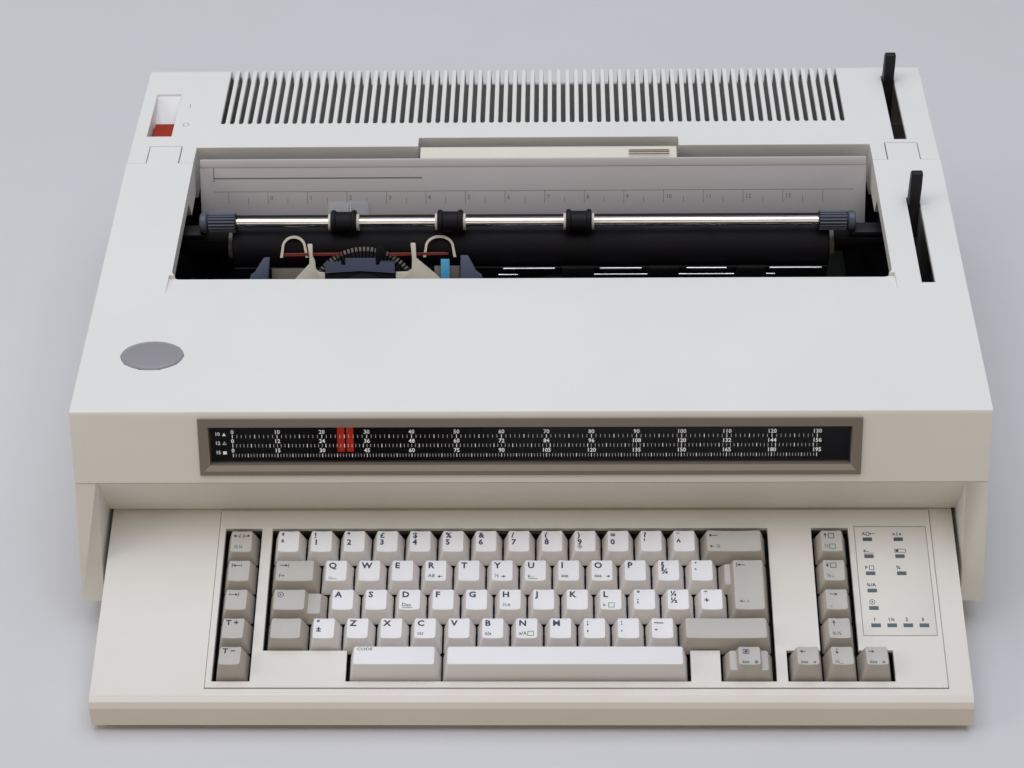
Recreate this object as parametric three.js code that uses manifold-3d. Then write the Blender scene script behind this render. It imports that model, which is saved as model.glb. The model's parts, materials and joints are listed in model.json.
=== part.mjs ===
// Desk-top electric typewriter with a print wheel: housings, keyboard, platen, paper bail,
// carriage and power parts, each as its own named solid. Millimetres, +X right, +Y to the
// back, +Z up. The assembly is built with Y = 0 at the keyboard's front edge and moved at the
// end, so that the origin is under the middle of the machine, on the table.
import * as THREE from 'three';
import { mergeVertices } from 'three/addons/utils/BufferGeometryUtils.js';
import Module from 'manifold-3d';

const wasm = await Module();
wasm.setup();

// ---------------------------------------------------------------- driving dimensions
const BODY_WIDTH = 518.6;
const BODY_DEPTH = 462;
const WALL = 3;
const GAP = 0.4;
const LEG_SPREAD = 2.7; // how far each side wall leans out at its foot

// side profile of the upper body, as heights and depths
const FRONT_TOP = { y: 120.4, z: 132.2 };
const FRONT_FOOT = { y: 104.5, z: 92.4 };
const APRON_FOOT = { y: 122.7, z: 53.6 };
const LEG_FOOT = { y: 81, z: 19.4 };
const SEAM_Y = 347.2; // between the opening cover and the rear housing
const SEAM_Z = 141.9;
const REAR_EDGE_DROP = 1.7;
const REAR_ROUND = 7;
const LEG_WIDTH = 12.8;

// opening over the platen
const ARM_WIDTH = 42.8;
const OPENING_FRONT_Y = 237;
const OPENING_REAR_Y = 365;
const OPENING_CORNER = 5;
const APRON_DIP = 16.3; // length of the sloping dip in front of the opening
const DIP_DEPTH = 2.6;
const INNER_WALL_DEEP = 20;
const INNER_WALL_SHALLOW = 8;
const INNER_WALL_STEP_Y = 320;
const TAB_INSET = 12.8; // from the body's side to the hinge tab's outer edge
const TAB_WIDTH = 20;
const TAB_LENGTH = 18.8;

// rear deck
const VENT_COUNT = 70;
const VENT_PITCH = 5.87;
const VENT_WIDTH = 3;
const VENT_FRONT_Y = 392;
const VENT_DROP = 14;
const VENT_SHIFT_X = -0.35;
const SWITCH_WELL = { side: 8.5, width: 15.9, y0: 378, y1: 429, floorZ: 125 };
const REST_POCKET = { x0: -73.3, x1: 94.2, depth: 10 };

// levers at the right, each in a slot
const LEVER_WIDTH = 7;
const LEVER_SIDE = 18.8; // from the body's side to the lever's outer face
const LEVER_PLAY = 0.6;
const LEVER_PIVOT_Z = 58;
const BAIL_LEVER = { pivotY: 276, slot0: 228.9, slot1: 309, tipZ: 163 };
const RELEASE_LEVER = { pivotY: 412, slot0: 370.5, slot1: 445.7, tipZ: 160.5 };
const LEVER_PIN_R = 3;

// print position window in the front face; s runs down the face from its top edge
const WINDOW = { half: 187, s0: 3.5, s1: 38, rim: 6, proud: 1.5, deep: 6 };
const LENS_DEPTH = 2.5;
const LENS_THICK = 2;
const BADGE = { inset: 40.8, y: 167, width: 36.6, height: 24, thick: 1 };

// keyboard
const CASE_GAP = 1;
const CASE_FRONT_TOP = { y: 4.1, z: 21.5 };
const CASE_REAR_TOP = { y: 122.7, z: 52.4 };
const CASE_BOTTOM_Z = 5;
const CASE_REAR_Y = 150;
const PAD_SIZE = { x: 24, y: 14 };
const BEZEL = { x0: -181.4, x1: 232, s0: 0.8, s1: 115.1, proud: 0.8, thick: 3 };
const KEY_PITCH = 19.05;
const KEY_PLAY = 0.9;
const KEY_TAPER = 3.1; // at each side
const KEY_BACK_TAPER = 1.3;
const KEY_FRONT_TAPER = 3.5;
const SPACE_FRONT_TAPER = 4.8;
const KEY_TOP_H = 6.3;
const KEY_BASE_H = -5;
const KEY_DISH_R = 350;
const KEY_MEAN_TILT = 0.0585;
const KEY_TRAVEL = 3.5;
const KEY_ROWS = 5;
const FIRST_ROW_S = 16;
const BLOCK_LEFT_X = -149.3;
const BLOCK_UNITS = 15;
const LEFT_COLUMN_GAP = 8.375; // between the block's cells and the left column's
const RIGHT_COLUMN_GAP = 27.625;
const WELL_MARGIN = 1.2;
const PLATE_H = -12;
const PLATE_THICK = 1.4;
const PANEL = { gapX: 3.675, width: 41, s0: 12.2, gapS: 9.5, thick: 1.2 };
const LAMP = { width: 5.4, depth: 2.4, inset: 7, pitchX: 9.05, secondX: 17.8, first: 8.4, last: 6.3 };

// paper path
const PLATEN = { y: 307.5, z: 106.1, r: 19.05, x0: -188, x1: 186, shaftR: 5 };
const PAPER_GAP = 2;
const PLATEN_GEAR = { gap: 2.4, wide: 6, r: 17.5, teeth: 24 };
const SUPPORT_TOP = { y: 352, z: 141.1 };
const SUPPORT_LENGTH = 46.1;
const SUPPORT_SLOPE = Math.PI / 3;
const SUPPORT_GAP = 3.3; // to the cover's opening at each side
const SUPPORT_THICK = 2.5;
const REST = { plate0: -22, plate1: 44, gap: 0.7, thick: 2.5 };
const GUIDE = { x0: -131.3, x1: -105.2, t0: 27.4, t1: 47.5, thick: 1.2 };
const BAIL_ANGLE = 1.936; // direction of the bail rod from the platen axis, from +Y to +Z
const BAIL_ROD_R = 2.9;
const BAIL_ROLLER = { r: 7.7, width: 16, hubWidth: 19, xs: [-117, -50.5, 29.5] };
const BAIL_CAP = { r: 6.5, length: 28, cheek: 5, inset: 19.6, shift: -3 };
const BAIL_PIVOT = { y: 327, z: 96 };
const FEED_PRESS_ANGLE = 3.752; // direction of the feed shaft from the platen axis
const FEED_ROLLER = { r: 7.7, shaftR: 3, spans: [[-160, -128], [-84, -58], [8, 40], [74, 94], [127, 149]] };
const FEED_PIVOT = { y: 292, z: 48 };
const FRAME_CLEAR = 12.1; // from the opening's side to a side frame's inner face
const FRAME_THICK = 2;

// carriage
const CARRIAGE_X = -104.6;
const ROD = { ahead: 52.54, z: 62, r: 5 }; // ahead of the strike point
const WHEEL_R = 36;
const WHEEL_THICK = 1.2;
const STRIKE_ANGLE = (5 * Math.PI) / 6; // strike point on the platen, from +Y to +Z
const STRIKE_GAP = 4;
const MOTOR_R = 20;
const RUNNING = 0.3;

// base
const PAN = { z0: 6, thick: 3, wallTop: 45, front: 152 };
const FOOT = { side: 22, width: 16, y0: 165, y1: 430 };

// ---------------------------------------------------------------- derived sizes
const HALF = BODY_WIDTH / 2;
const OPENING_HALF = HALF - ARM_WIDTH;
const DECK_SLOPE = (SEAM_Z - FRONT_TOP.z) / (SEAM_Y - FRONT_TOP.y);
const deckZ = (y) => FRONT_TOP.z + (y - FRONT_TOP.y) * DECK_SLOPE;
const REAR_EDGE = { y: BODY_DEPTH - REAR_ROUND - 1, z: SEAM_Z - REAR_EDGE_DROP };
const rearDeckZ = (y) => SEAM_Z - ((y - SEAM_Y) * REAR_EDGE_DROP) / (REAR_EDGE.y - SEAM_Y);
const LEG_INNER = HALF - LEG_WIDTH;
const CASE_HALF = LEG_INNER - CASE_GAP;
const FRAME_X = OPENING_HALF + FRAME_CLEAR;
const SUPPORT_HALF = OPENING_HALF - SUPPORT_GAP;
const platenPoint = (angle, radius) => ({
  y: PLATEN.y + radius * Math.cos(angle),
  z: PLATEN.z + radius * Math.sin(angle),
});
const strike = platenPoint(STRIKE_ANGLE, PLATEN.r + STRIKE_GAP);
const rodY = strike.y - ROD.ahead;
const rowS = (row) => FIRST_ROW_S + (row + 0.5) * KEY_PITCH;
const rowEdge = (row) => FIRST_ROW_S + row * KEY_PITCH;
const blockX = (unit) => BLOCK_LEFT_X + unit * KEY_PITCH;
const LEFT_COLUMN_X = BLOCK_LEFT_X - LEFT_COLUMN_GAP - KEY_PITCH / 2;
const RIGHT_COLUMN_X = blockX(BLOCK_UNITS) + RIGHT_COLUMN_GAP + KEY_PITCH / 2;
const panelX0 = RIGHT_COLUMN_X + KEY_PITCH / 2 + WELL_MARGIN + PANEL.gapX;
const INDICATOR = {
  x0: panelX0,
  x1: panelX0 + PANEL.width,
  s0: PANEL.s0,
  s1: rowEdge(KEY_ROWS - 1) - PANEL.gapS,
  thick: PANEL.thick,
};

// ---------------------------------------------------------------- solids
const X = new THREE.Vector3(1, 0, 0);
const Y = new THREE.Vector3(0, 1, 0);
const Z = new THREE.Vector3(0, 0, 1);

function solidOf(geometry) {
  const bare = geometry.index ? geometry.toNonIndexed() : geometry.clone();
  bare.deleteAttribute('normal');
  bare.deleteAttribute('uv');
  const merged = mergeVertices(bare, 1e-4);
  const mesh = new wasm.Mesh({
    numProp: 3,
    vertProperties: new Float32Array(merged.attributes.position.array),
    triVerts: new Uint32Array(merged.index.array),
  });
  return new wasm.Manifold(mesh);
}

function outline(points) {
  return new THREE.Shape(points.map(([a, b]) => new THREE.Vector2(a, b)));
}

function extruded(shape, depth, matrix, curveSegments = 4) {
  const geometry = new THREE.ExtrudeGeometry(shape, { depth, bevelEnabled: false, curveSegments });
  return solidOf(geometry.applyMatrix4(matrix));
}

// a (y, z) outline pulled along X, an (x, y) outline along Z, an (x, z) outline along Y
function alongX(points, x0, x1) {
  const shape = points instanceof THREE.Shape ? points : outline(points);
  const matrix = new THREE.Matrix4().makeBasis(Y, Z, X).setPosition(x0, 0, 0);
  return extruded(shape, x1 - x0, matrix);
}

function alongZ(points, z0, z1) {
  const shape = points instanceof THREE.Shape ? points : outline(points);
  return extruded(shape, z1 - z0, new THREE.Matrix4().makeTranslation(0, 0, z0));
}

function alongY(points, y0, y1) {
  const shape = points instanceof THREE.Shape ? points : outline(points);
  const matrix = new THREE.Matrix4().makeBasis(X, Z, Y.clone().negate()).setPosition(0, y1, 0);
  return extruded(shape, y1 - y0, matrix);
}

function box(x0, x1, y0, y1, z0, z1) {
  const geometry = new THREE.BoxGeometry(x1 - x0, y1 - y0, z1 - z0);
  return solidOf(geometry.translate((x0 + x1) / 2, (y0 + y1) / 2, (z0 + z1) / 2));
}

function rodX(y, z, r, x0, x1, sides = 16) {
  const geometry = new THREE.CylinderGeometry(r, r, x1 - x0, sides);
  return solidOf(geometry.rotateZ(Math.PI / 2).translate((x0 + x1) / 2, y, z));
}

// a ring or stepped roller turned about an X axis: profile of [x, radius], closed
function turnedX(profile, y, z, sides = 20) {
  const points = profile.map(([x, r]) => new THREE.Vector2(r, x));
  const geometry = new THREE.LatheGeometry(points, sides);
  const solid = solidOf(geometry.rotateZ(-Math.PI / 2).translate(0, y, z));
  return solid;
}

// boxes on a tilted face: x across, s along the face, d into it
function face(origin, along) {
  const s = new THREE.Vector3(0, along.y, along.z).normalize();
  const d = new THREE.Vector3().crossVectors(X, s);
  return new THREE.Matrix4().makeBasis(X, s, d).setPosition(0, origin.y, origin.z);
}

function faceBox(frame, x0, x1, s0, s1, d0, d1) {
  const geometry = new THREE.BoxGeometry(x1 - x0, s1 - s0, d1 - d0);
  geometry.translate((x0 + x1) / 2, (s0 + s1) / 2, (d0 + d1) / 2);
  return solidOf(geometry.applyMatrix4(frame));
}

function facePlate(frame, shape, d0, d1, curveSegments = 4) {
  const placed = frame.clone().multiply(new THREE.Matrix4().makeTranslation(0, 0, d0));
  return extruded(shape, d1 - d0, placed, curveSegments);
}

function roundedRect(x0, x1, y0, y1, r) {
  const shape = new THREE.Shape();
  shape.moveTo(x0 + r, y0);
  shape.lineTo(x1 - r, y0);
  shape.absarc(x1 - r, y0 + r, r, -Math.PI / 2, 0);
  shape.lineTo(x1, y1 - r);
  shape.absarc(x1 - r, y1 - r, r, 0, Math.PI / 2);
  shape.lineTo(x0 + r, y1);
  shape.absarc(x0 + r, y1 - r, r, Math.PI / 2, Math.PI);
  shape.lineTo(x0, y0 + r);
  shape.absarc(x0 + r, y0 + r, r, Math.PI, (3 * Math.PI) / 2);
  return shape;
}

// points of an arc in the (y, z) plane
function arc(cy, cz, r, a0, a1, steps) {
  const points = [];
  for (let i = 0; i <= steps; i += 1) {
    const a = a0 + ((a1 - a0) * i) / steps;
    points.push([cy + r * Math.cos(a), cz + r * Math.sin(a)]);
  }
  return points;
}

// a curved sheet about an X axis
function curvedSheet(cy, cz, r0, r1, a0, a1, x0, x1, steps) {
  const inner = arc(cy, cz, r0, a0, a1, steps);
  const outer = arc(cy, cz, r1, a1, a0, steps);
  return alongX([...inner, ...outer], x0, x1);
}

const union = (...solids) => solids.reduce((a, b) => a.add(b));
const cut = (body, ...tools) => tools.reduce((a, b) => a.subtract(b), body);

// ---------------------------------------------------------------- materials
const paint = (color, roughness, metalness = 0) =>
  new THREE.MeshStandardMaterial({ color, roughness, metalness });
const PEARL = paint(0xdfe0dc, 0.6);
const KEYBOARD_WHITE = paint(0xe1dcd0, 0.6);
const KEY_WHITE = paint(0xe2e3e2, 0.5);
const KEY_GREY = paint(0xb4b0a6, 0.5);
const TAUPE = paint(0x756a5c, 0.55);
const SUPPORT_GREY = paint(0xa09c98, 0.6);
const BLACK = paint(0x26252a, 0.6);
const RUBBER = paint(0x1b1a1d, 0.85);
const CHROME = paint(0xd8d8dc, 0.2, 1);
const STEEL = paint(0xa9abb0, 0.4, 1);
const SMOKED = paint(0x151317, 0.15);
const CLEAR = paint(0xd5dae6, 0.15);
const RED = paint(0xd8381c, 0.4);
const BADGE_GREY = paint(0x8f8b8a, 0.35, 0.7);
const BOARD_GREEN = paint(0x2f5c3a, 0.5);
const BLUE_GREY = paint(0x4a4e66, 0.5);

const machine = new THREE.Group();

function addMesh(name, solid, material, group = machine) {
  const { vertProperties, triVerts, numProp } = solid.getMesh();
  if (numProp !== 3) throw new Error(`${name}: unexpected vertex layout`);
  const geometry = new THREE.BufferGeometry();
  geometry.setAttribute('position', new THREE.BufferAttribute(vertProperties, 3));
  geometry.setIndex(new THREE.BufferAttribute(triVerts, 1));
  geometry.computeVertexNormals();
  const mesh = new THREE.Mesh(geometry, material);
  mesh.name = name;
  group.add(mesh);
  return mesh;
}

// ---------------------------------------------------------------- opening cover
const frontFace = face(FRONT_TOP, { y: FRONT_FOOT.y - FRONT_TOP.y, z: FRONT_FOOT.z - FRONT_TOP.z });
const deckFace = face(FRONT_TOP, { y: -(SEAM_Y - FRONT_TOP.y), z: -(SEAM_Z - FRONT_TOP.z) });

function coverShell() {
  const outer = [
    [FRONT_FOOT.y, FRONT_FOOT.z],
    [FRONT_TOP.y - 0.9, FRONT_TOP.z - 2.2],
    [FRONT_TOP.y + 0.6, FRONT_TOP.z - 0.4],
    [FRONT_TOP.y + 3, deckZ(FRONT_TOP.y + 3)],
    [SEAM_Y, SEAM_Z],
    [SEAM_Y, FRONT_FOOT.z],
  ];
  const inner = [
    [FRONT_FOOT.y + WALL, FRONT_FOOT.z - 1],
    [FRONT_TOP.y + WALL, FRONT_TOP.z - WALL],
    [SEAM_Y + 1, SEAM_Z - WALL],
    [SEAM_Y + 1, FRONT_FOOT.z - 1],
  ];
  return alongX(outer, -HALF, HALF).subtract(alongX(inner, -HALF + WALL, HALF - WALL));
}

function openingCutter() {
  return alongZ(
    roundedRect(-OPENING_HALF, OPENING_HALF, OPENING_FRONT_Y, OPENING_REAR_Y, OPENING_CORNER),
    SEAM_Z - 60,
    SEAM_Z + 20,
  );
}

function dip() {
  const y0 = OPENING_FRONT_Y - APRON_DIP;
  const floor = [
    [y0 - 4, deckZ(y0) - 1],
    [OPENING_FRONT_Y, deckZ(OPENING_FRONT_Y) - 1],
    [OPENING_FRONT_Y, deckZ(OPENING_FRONT_Y) - DIP_DEPTH - WALL],
    [y0 - 4, deckZ(y0) - WALL - 0.5],
  ];
  const hollow = [
    [y0, deckZ(y0)],
    [OPENING_FRONT_Y + 1, deckZ(OPENING_FRONT_Y) - DIP_DEPTH],
    [OPENING_FRONT_Y + 1, SEAM_Z + 10],
    [y0, SEAM_Z + 10],
  ];
  const reach = OPENING_HALF + 1.5;
  return { floor: alongX(floor, -reach - 2, reach + 2), hollow: alongX(hollow, -reach, reach) };
}

function innerWall(side) {
  const points = [
    [OPENING_FRONT_Y - 2, deckZ(OPENING_FRONT_Y) - 1],
    [SEAM_Y, SEAM_Z - 1],
    [SEAM_Y, SEAM_Z - INNER_WALL_DEEP],
    [INNER_WALL_STEP_Y, deckZ(INNER_WALL_STEP_Y) - INNER_WALL_DEEP],
    [INNER_WALL_STEP_Y - 4, deckZ(INNER_WALL_STEP_Y) - INNER_WALL_SHALLOW],
    [OPENING_FRONT_Y - 2, deckZ(OPENING_FRONT_Y) - INNER_WALL_SHALLOW],
  ];
  const x = side * OPENING_HALF;
  return alongX(points, Math.min(x, x + side * WALL), Math.max(x, x + side * WALL));
}

function hingeTab(side) {
  const outer = HALF - TAB_INSET;
  const x0 = side > 0 ? outer - TAB_WIDTH : -outer;
  const y1 = SEAM_Y + TAB_LENGTH;
  const points = [
    [SEAM_Y - 6, SEAM_Z - WALL],
    [y1, rearDeckZ(y1) - WALL],
    [y1, rearDeckZ(y1)],
    [SEAM_Y, SEAM_Z],
    [SEAM_Y - 6, SEAM_Z - 0.5],
  ];
  return alongX(points, x0, x0 + TAB_WIDTH);
}

const leverOuterX = HALF - LEVER_SIDE;
const leverInnerX = leverOuterX - LEVER_WIDTH;
const leverSlot = (lever) =>
  box(leverInnerX - LEVER_PLAY, leverOuterX + LEVER_PLAY, lever.slot0, lever.slot1, 100, 160);

const holeHalf = WINDOW.half - 3.2;
const windowHole = faceBox(frontFace, -holeHalf, holeHalf, WINDOW.s0 + 3, WINDOW.s1 - 3, -4, 12);
const badgeShape = (grow) => {
  const shape = new THREE.Shape();
  const x = -(HALF - BADGE.inset);
  const s = -(BADGE.y - FRONT_TOP.y);
  shape.absellipse(x, s, BADGE.width / 2 + grow, BADGE.height / 2 + grow, 0, Math.PI * 2);
  return shape;
};

const { floor: dipFloor, hollow: dipHollow } = dip();
const coverSolid = cut(
  union(coverShell(), dipFloor, innerWall(-1), innerWall(1)),
  dipHollow,
  openingCutter(),
  leverSlot(BAIL_LEVER),
  windowHole,
  facePlate(deckFace, badgeShape(GAP), -1, BADGE.thick - 0.2 + GAP, 5),
);
addMesh('top_cover', union(coverSolid, hingeTab(-1), hingeTab(1)), PEARL);
addMesh('badge', facePlate(deckFace, badgeShape(0), -0.2, BADGE.thick - 0.2, 5), BADGE_GREY);

// window frame, its lens and the red marker behind it
const rim = WINDOW.rim;
const frameBody = union(
  faceBox(frontFace, -WINDOW.half, WINDOW.half, WINDOW.s0, WINDOW.s1, -WINDOW.proud, -GAP),
  faceBox(
    frontFace,
    -WINDOW.half + 3.2 + GAP,
    WINDOW.half - 3.2 - GAP,
    WINDOW.s0 + 3 + GAP,
    WINDOW.s1 - 3 - GAP,
    -GAP - 0.5,
    WINDOW.deep,
  ),
);
const lensX = WINDOW.half - rim;
const lensS0 = WINDOW.s0 + rim - 0.5;
const lensS1 = WINDOW.s1 - rim - 0.5;
addMesh('window_frame', cut(frameBody, faceBox(frontFace, -lensX, lensX, lensS0, lensS1, -4, 12)), TAUPE);
addMesh(
  'scale_window',
  faceBox(
    frontFace,
    -lensX + GAP,
    lensX - GAP,
    lensS0 + GAP,
    lensS1 - GAP,
    LENS_DEPTH,
    LENS_DEPTH + LENS_THICK,
  ),
  SMOKED,
);

// ---------------------------------------------------------------- rear housing
function rearShell() {
  const y0 = SEAM_Y + GAP;
  const outer = [
    [y0, FRONT_FOOT.z],
    [y0, SEAM_Z],
    [REAR_EDGE.y, REAR_EDGE.z],
    ...arc(REAR_EDGE.y, REAR_EDGE.z - REAR_ROUND, REAR_ROUND, Math.PI / 3, 0, 2),
    [BODY_DEPTH, REAR_EDGE.z - REAR_ROUND - 2],
    [BODY_DEPTH, FRONT_FOOT.z],
  ];
  const inner = [
    [y0 - 1, FRONT_FOOT.z - 1],
    [y0 - 1, SEAM_Z - WALL],
    [REAR_EDGE.y - 1, REAR_EDGE.z - WALL],
    [BODY_DEPTH - WALL, REAR_EDGE.z - REAR_ROUND - 2],
    [BODY_DEPTH - WALL, FRONT_FOOT.z - 1],
  ];
  return alongX(outer, -HALF, HALF).subtract(alongX(inner, -HALF + WALL, HALF - WALL));
}

function pocketWalls() {
  const low = SEAM_Z - 28;
  const top = SEAM_Z - 1.2;
  const { x0, x1, depth } = REST_POCKET;
  const y1 = OPENING_REAR_Y + depth;
  return union(
    box(-OPENING_HALF - WALL, x0, OPENING_REAR_Y, OPENING_REAR_Y + WALL, low, top),
    box(x1, OPENING_HALF + WALL, OPENING_REAR_Y, OPENING_REAR_Y + WALL, low, top),
    box(x0 - WALL, x0, OPENING_REAR_Y, y1 + WALL, low, top),
    box(x1, x1 + WALL, OPENING_REAR_Y, y1 + WALL, low, top),
    box(x0 - WALL, x1 + WALL, y1, y1 + WALL, low, top),
    box(-OPENING_HALF - WALL, -OPENING_HALF, SEAM_Y + GAP, OPENING_REAR_Y + WALL, low, top),
    box(OPENING_HALF, OPENING_HALF + WALL, SEAM_Y + GAP, OPENING_REAR_Y + WALL, low, top),
  );
}

const switchX0 = -(HALF - SWITCH_WELL.side);
const switchX1 = switchX0 + SWITCH_WELL.width;

function switchTub() {
  const { y0, y1, floorZ } = SWITCH_WELL;
  const tub = box(switchX0 - 2, switchX1 + 2, y0 - 2, y1 + 2, floorZ - 2, SEAM_Z - 2);
  const hollow = [
    [y0, floorZ],
    [y0 + 27, floorZ],
    [y0 + 27.5, floorZ + 3],
    [y1 - 1, rearDeckZ(y1) - 1.5],
    [y1, rearDeckZ(y1) + 4],
    [y0, rearDeckZ(y0) + 4],
  ];
  return { tub, hollow: alongX(hollow, switchX0, switchX1) };
}

function ventCutters() {
  const first = VENT_SHIFT_X - ((VENT_COUNT - 1) * VENT_PITCH) / 2;
  const low = REAR_EDGE.z - VENT_DROP;
  const cutters = [];
  for (let i = 0; i < VENT_COUNT; i += 1) {
    const x = first + i * VENT_PITCH;
    const half = VENT_WIDTH / 2;
    const plan = [
      [x - half, VENT_FRONT_Y + half],
      [x - half * 0.5, VENT_FRONT_Y + 0.2],
      [x + half * 0.5, VENT_FRONT_Y + 0.2],
      [x + half, VENT_FRONT_Y + half],
      [x + half, BODY_DEPTH + 2],
      [x - half, BODY_DEPTH + 2],
    ];
    cutters.push(alongZ(plan, low, SEAM_Z + 5));
  }
  return cutters;
}

function tabNotch(side) {
  const outer = HALF - TAB_INSET + GAP + 0.2;
  const x0 = side > 0 ? outer - TAB_WIDTH - 2 * GAP - 0.4 : -outer;
  const x1 = x0 + TAB_WIDTH + 2 * GAP + 0.4;
  return box(x0, x1, SEAM_Y - 1, SEAM_Y + TAB_LENGTH + 0.8, SEAM_Z - 40, SEAM_Z + 5);
}

const { tub, hollow: tubHollow } = switchTub();
const pocketCut = box(
  REST_POCKET.x0,
  REST_POCKET.x1,
  OPENING_REAR_Y - 1,
  OPENING_REAR_Y + REST_POCKET.depth,
  SEAM_Z - 40,
  SEAM_Z + 10,
);
const rearSolid = cut(
  union(rearShell(), tub),
  openingCutter(),
  box(-OPENING_HALF, OPENING_HALF, SEAM_Y - 1, OPENING_REAR_Y, SEAM_Z - 40, SEAM_Z + 10),
);
addMesh(
  'rear_housing',
  cut(
    union(rearSolid, pocketWalls()),
    pocketCut,
    tubHollow,
    leverSlot(RELEASE_LEVER),
    tabNotch(-1),
    tabNotch(1),
    ...ventCutters(),
  ),
  PEARL,
);

// rocker of the power switch, its rear half pressed down
const rockerY0 = SWITCH_WELL.y0 + 2.5;
const rockerY1 = rockerY0 + 24;
addMesh(
  'power_switch',
  alongX(
    [
      [rockerY0, SWITCH_WELL.floorZ + 2.6],
      [rockerY0 + 12, SWITCH_WELL.floorZ + 0.6],
      [rockerY1, SWITCH_WELL.floorZ + 2.2],
      [rockerY1, SWITCH_WELL.floorZ + 8],
      [rockerY0 + 12, SWITCH_WELL.floorZ + 8.6],
      [rockerY0, SWITCH_WELL.floorZ + 11.6],
    ],
    switchX0 + 0.9,
    switchX1 - 0.9,
  ),
  RED,
);

// ---------------------------------------------------------------- lower housing
const SUPPLY = { inset: 14.3, width: 84, height: 74, deep: 67 };
const supplyX0 = -(FRAME_X - SUPPLY.inset);
const INLET = { x0: supplyX0 + 4, width: 28, z0: 42, height: 20 };

function lowerShell() {
  const top = FRONT_FOOT.z - GAP - 0.2;
  const legTopY = FRONT_FOOT.y + 0.3;
  const outer = [
    [LEG_FOOT.y, LEG_FOOT.z],
    [BODY_DEPTH, LEG_FOOT.z],
    [BODY_DEPTH, top],
    [legTopY, top],
  ];
  const body = alongX(outer, -HALF, HALF);
  const room = box(-HALF + WALL, HALF - WALL, APRON_FOOT.y + 6, BODY_DEPTH - WALL, 0, 200);
  const between = box(-LEG_INNER, LEG_INNER, 0, APRON_FOOT.y + 7, 0, 200);
  return cut(body, room, between);
}

function apron() {
  const top = FRONT_FOOT.z - GAP - 0.2;
  const points = [
    [FRONT_FOOT.y + 0.2, top],
    [APRON_FOOT.y, APRON_FOOT.z],
    [APRON_FOOT.y + WALL, APRON_FOOT.z],
    [FRONT_FOOT.y + WALL + 0.2, top],
  ];
  return alongX(points, -LEG_INNER - 1, LEG_INNER + 1);
}

// side walls lean outwards below the cover
function lean(solid) {
  return solid.warp((vertex) => {
    const drop = Math.max(0, FRONT_FOOT.z - vertex[2]) / (FRONT_FOOT.z - LEG_FOOT.z);
    vertex[0] *= 1 + (drop * LEG_SPREAD) / HALF;
  });
}

const inletHole = box(
  INLET.x0 - GAP,
  INLET.x0 + INLET.width + GAP,
  BODY_DEPTH - 10,
  BODY_DEPTH + 1,
  INLET.z0 - GAP,
  INLET.z0 + INLET.height + GAP,
);
addMesh('lower_housing', cut(lean(union(lowerShell(), apron())), inletHole), PEARL);

// ---------------------------------------------------------------- base pan and feet
const panHalf = HALF - WALL - GAP;
const panRear = BODY_DEPTH - WALL - GAP;
addMesh(
  'base_pan',
  cut(
    box(-panHalf, panHalf, PAN.front, panRear, PAN.z0, PAN.wallTop),
    box(-panHalf + WALL, panHalf - WALL, PAN.front - 1, panRear - WALL, PAN.z0 + PAN.thick, PAN.wallTop + 1),
    box(
      INLET.x0 - GAP,
      INLET.x0 + INLET.width + GAP,
      panRear - 10,
      panRear + 1,
      INLET.z0 - GAP,
      PAN.wallTop + 1,
    ),
  ),
  PEARL,
);
for (const side of [-1, 1]) {
  const x = side * (HALF - FOOT.side);
  addMesh(
    side < 0 ? 'foot_left' : 'foot_right',
    box(x - FOOT.width / 2, x + FOOT.width / 2, FOOT.y0, FOOT.y1, 0, PAN.z0 - RUNNING),
    RUBBER,
  );
}

// ---------------------------------------------------------------- keyboard
const caseRun = Math.hypot(CASE_REAR_TOP.y - CASE_FRONT_TOP.y, CASE_REAR_TOP.z - CASE_FRONT_TOP.z);
const caseSlope = {
  y: (CASE_REAR_TOP.y - CASE_FRONT_TOP.y) / caseRun,
  z: (CASE_REAR_TOP.z - CASE_FRONT_TOP.z) / caseRun,
};
// x across, s down the slope towards the typist, h above the slope (drawn as -d)
const keyFace = face(CASE_REAR_TOP, { y: -caseSlope.y, z: -caseSlope.z });
const keyBox = (x0, x1, s0, s1, h0, h1) => faceBox(keyFace, x0, x1, s0, s1, h0, h1);

function keyboardCase() {
  const onSlope = (y) => CASE_FRONT_TOP.z + ((y - CASE_FRONT_TOP.y) * caseSlope.z) / caseSlope.y;
  const outer = [
    [0, CASE_BOTTOM_Z],
    [CASE_REAR_Y, CASE_BOTTOM_Z],
    [CASE_REAR_Y, CASE_REAR_TOP.z],
    [CASE_REAR_TOP.y, CASE_REAR_TOP.z],
    [7, onSlope(7)],
    [3.6, 20.4],
    [1.4, 17.4],
  ];
  const inner = [
    [WALL + 1, CASE_BOTTOM_Z + WALL],
    [CASE_REAR_Y - WALL, CASE_BOTTOM_Z + WALL],
    [CASE_REAR_Y - WALL, CASE_REAR_TOP.z - WALL],
    [CASE_REAR_TOP.y, CASE_REAR_TOP.z - WALL],
    [8, onSlope(8) - WALL],
    [WALL + 1.8, 16.5],
  ];
  const hollow = alongX(inner, -CASE_HALF + WALL, CASE_HALF - WALL);
  const shell = alongX(outer, -CASE_HALF, CASE_HALF).subtract(hollow);
  const hole = keyBox(BEZEL.x0 - GAP, BEZEL.x1 + GAP, BEZEL.s0 - GAP, BEZEL.s1 + GAP, -6, 5);
  const pads = [-1, 1].flatMap((side) => [12, CASE_REAR_Y - 16].map((y) => {
    const x = side * (CASE_HALF - 28);
    return box(x - PAD_SIZE.x / 2, x + PAD_SIZE.x / 2, y, y + PAD_SIZE.y, 0, CASE_BOTTOM_Z + 1);
  }));
  return union(cut(shell, hole), ...pads);
}
addMesh('keyboard_case', keyboardCase(), KEYBOARD_WHITE);

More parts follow.
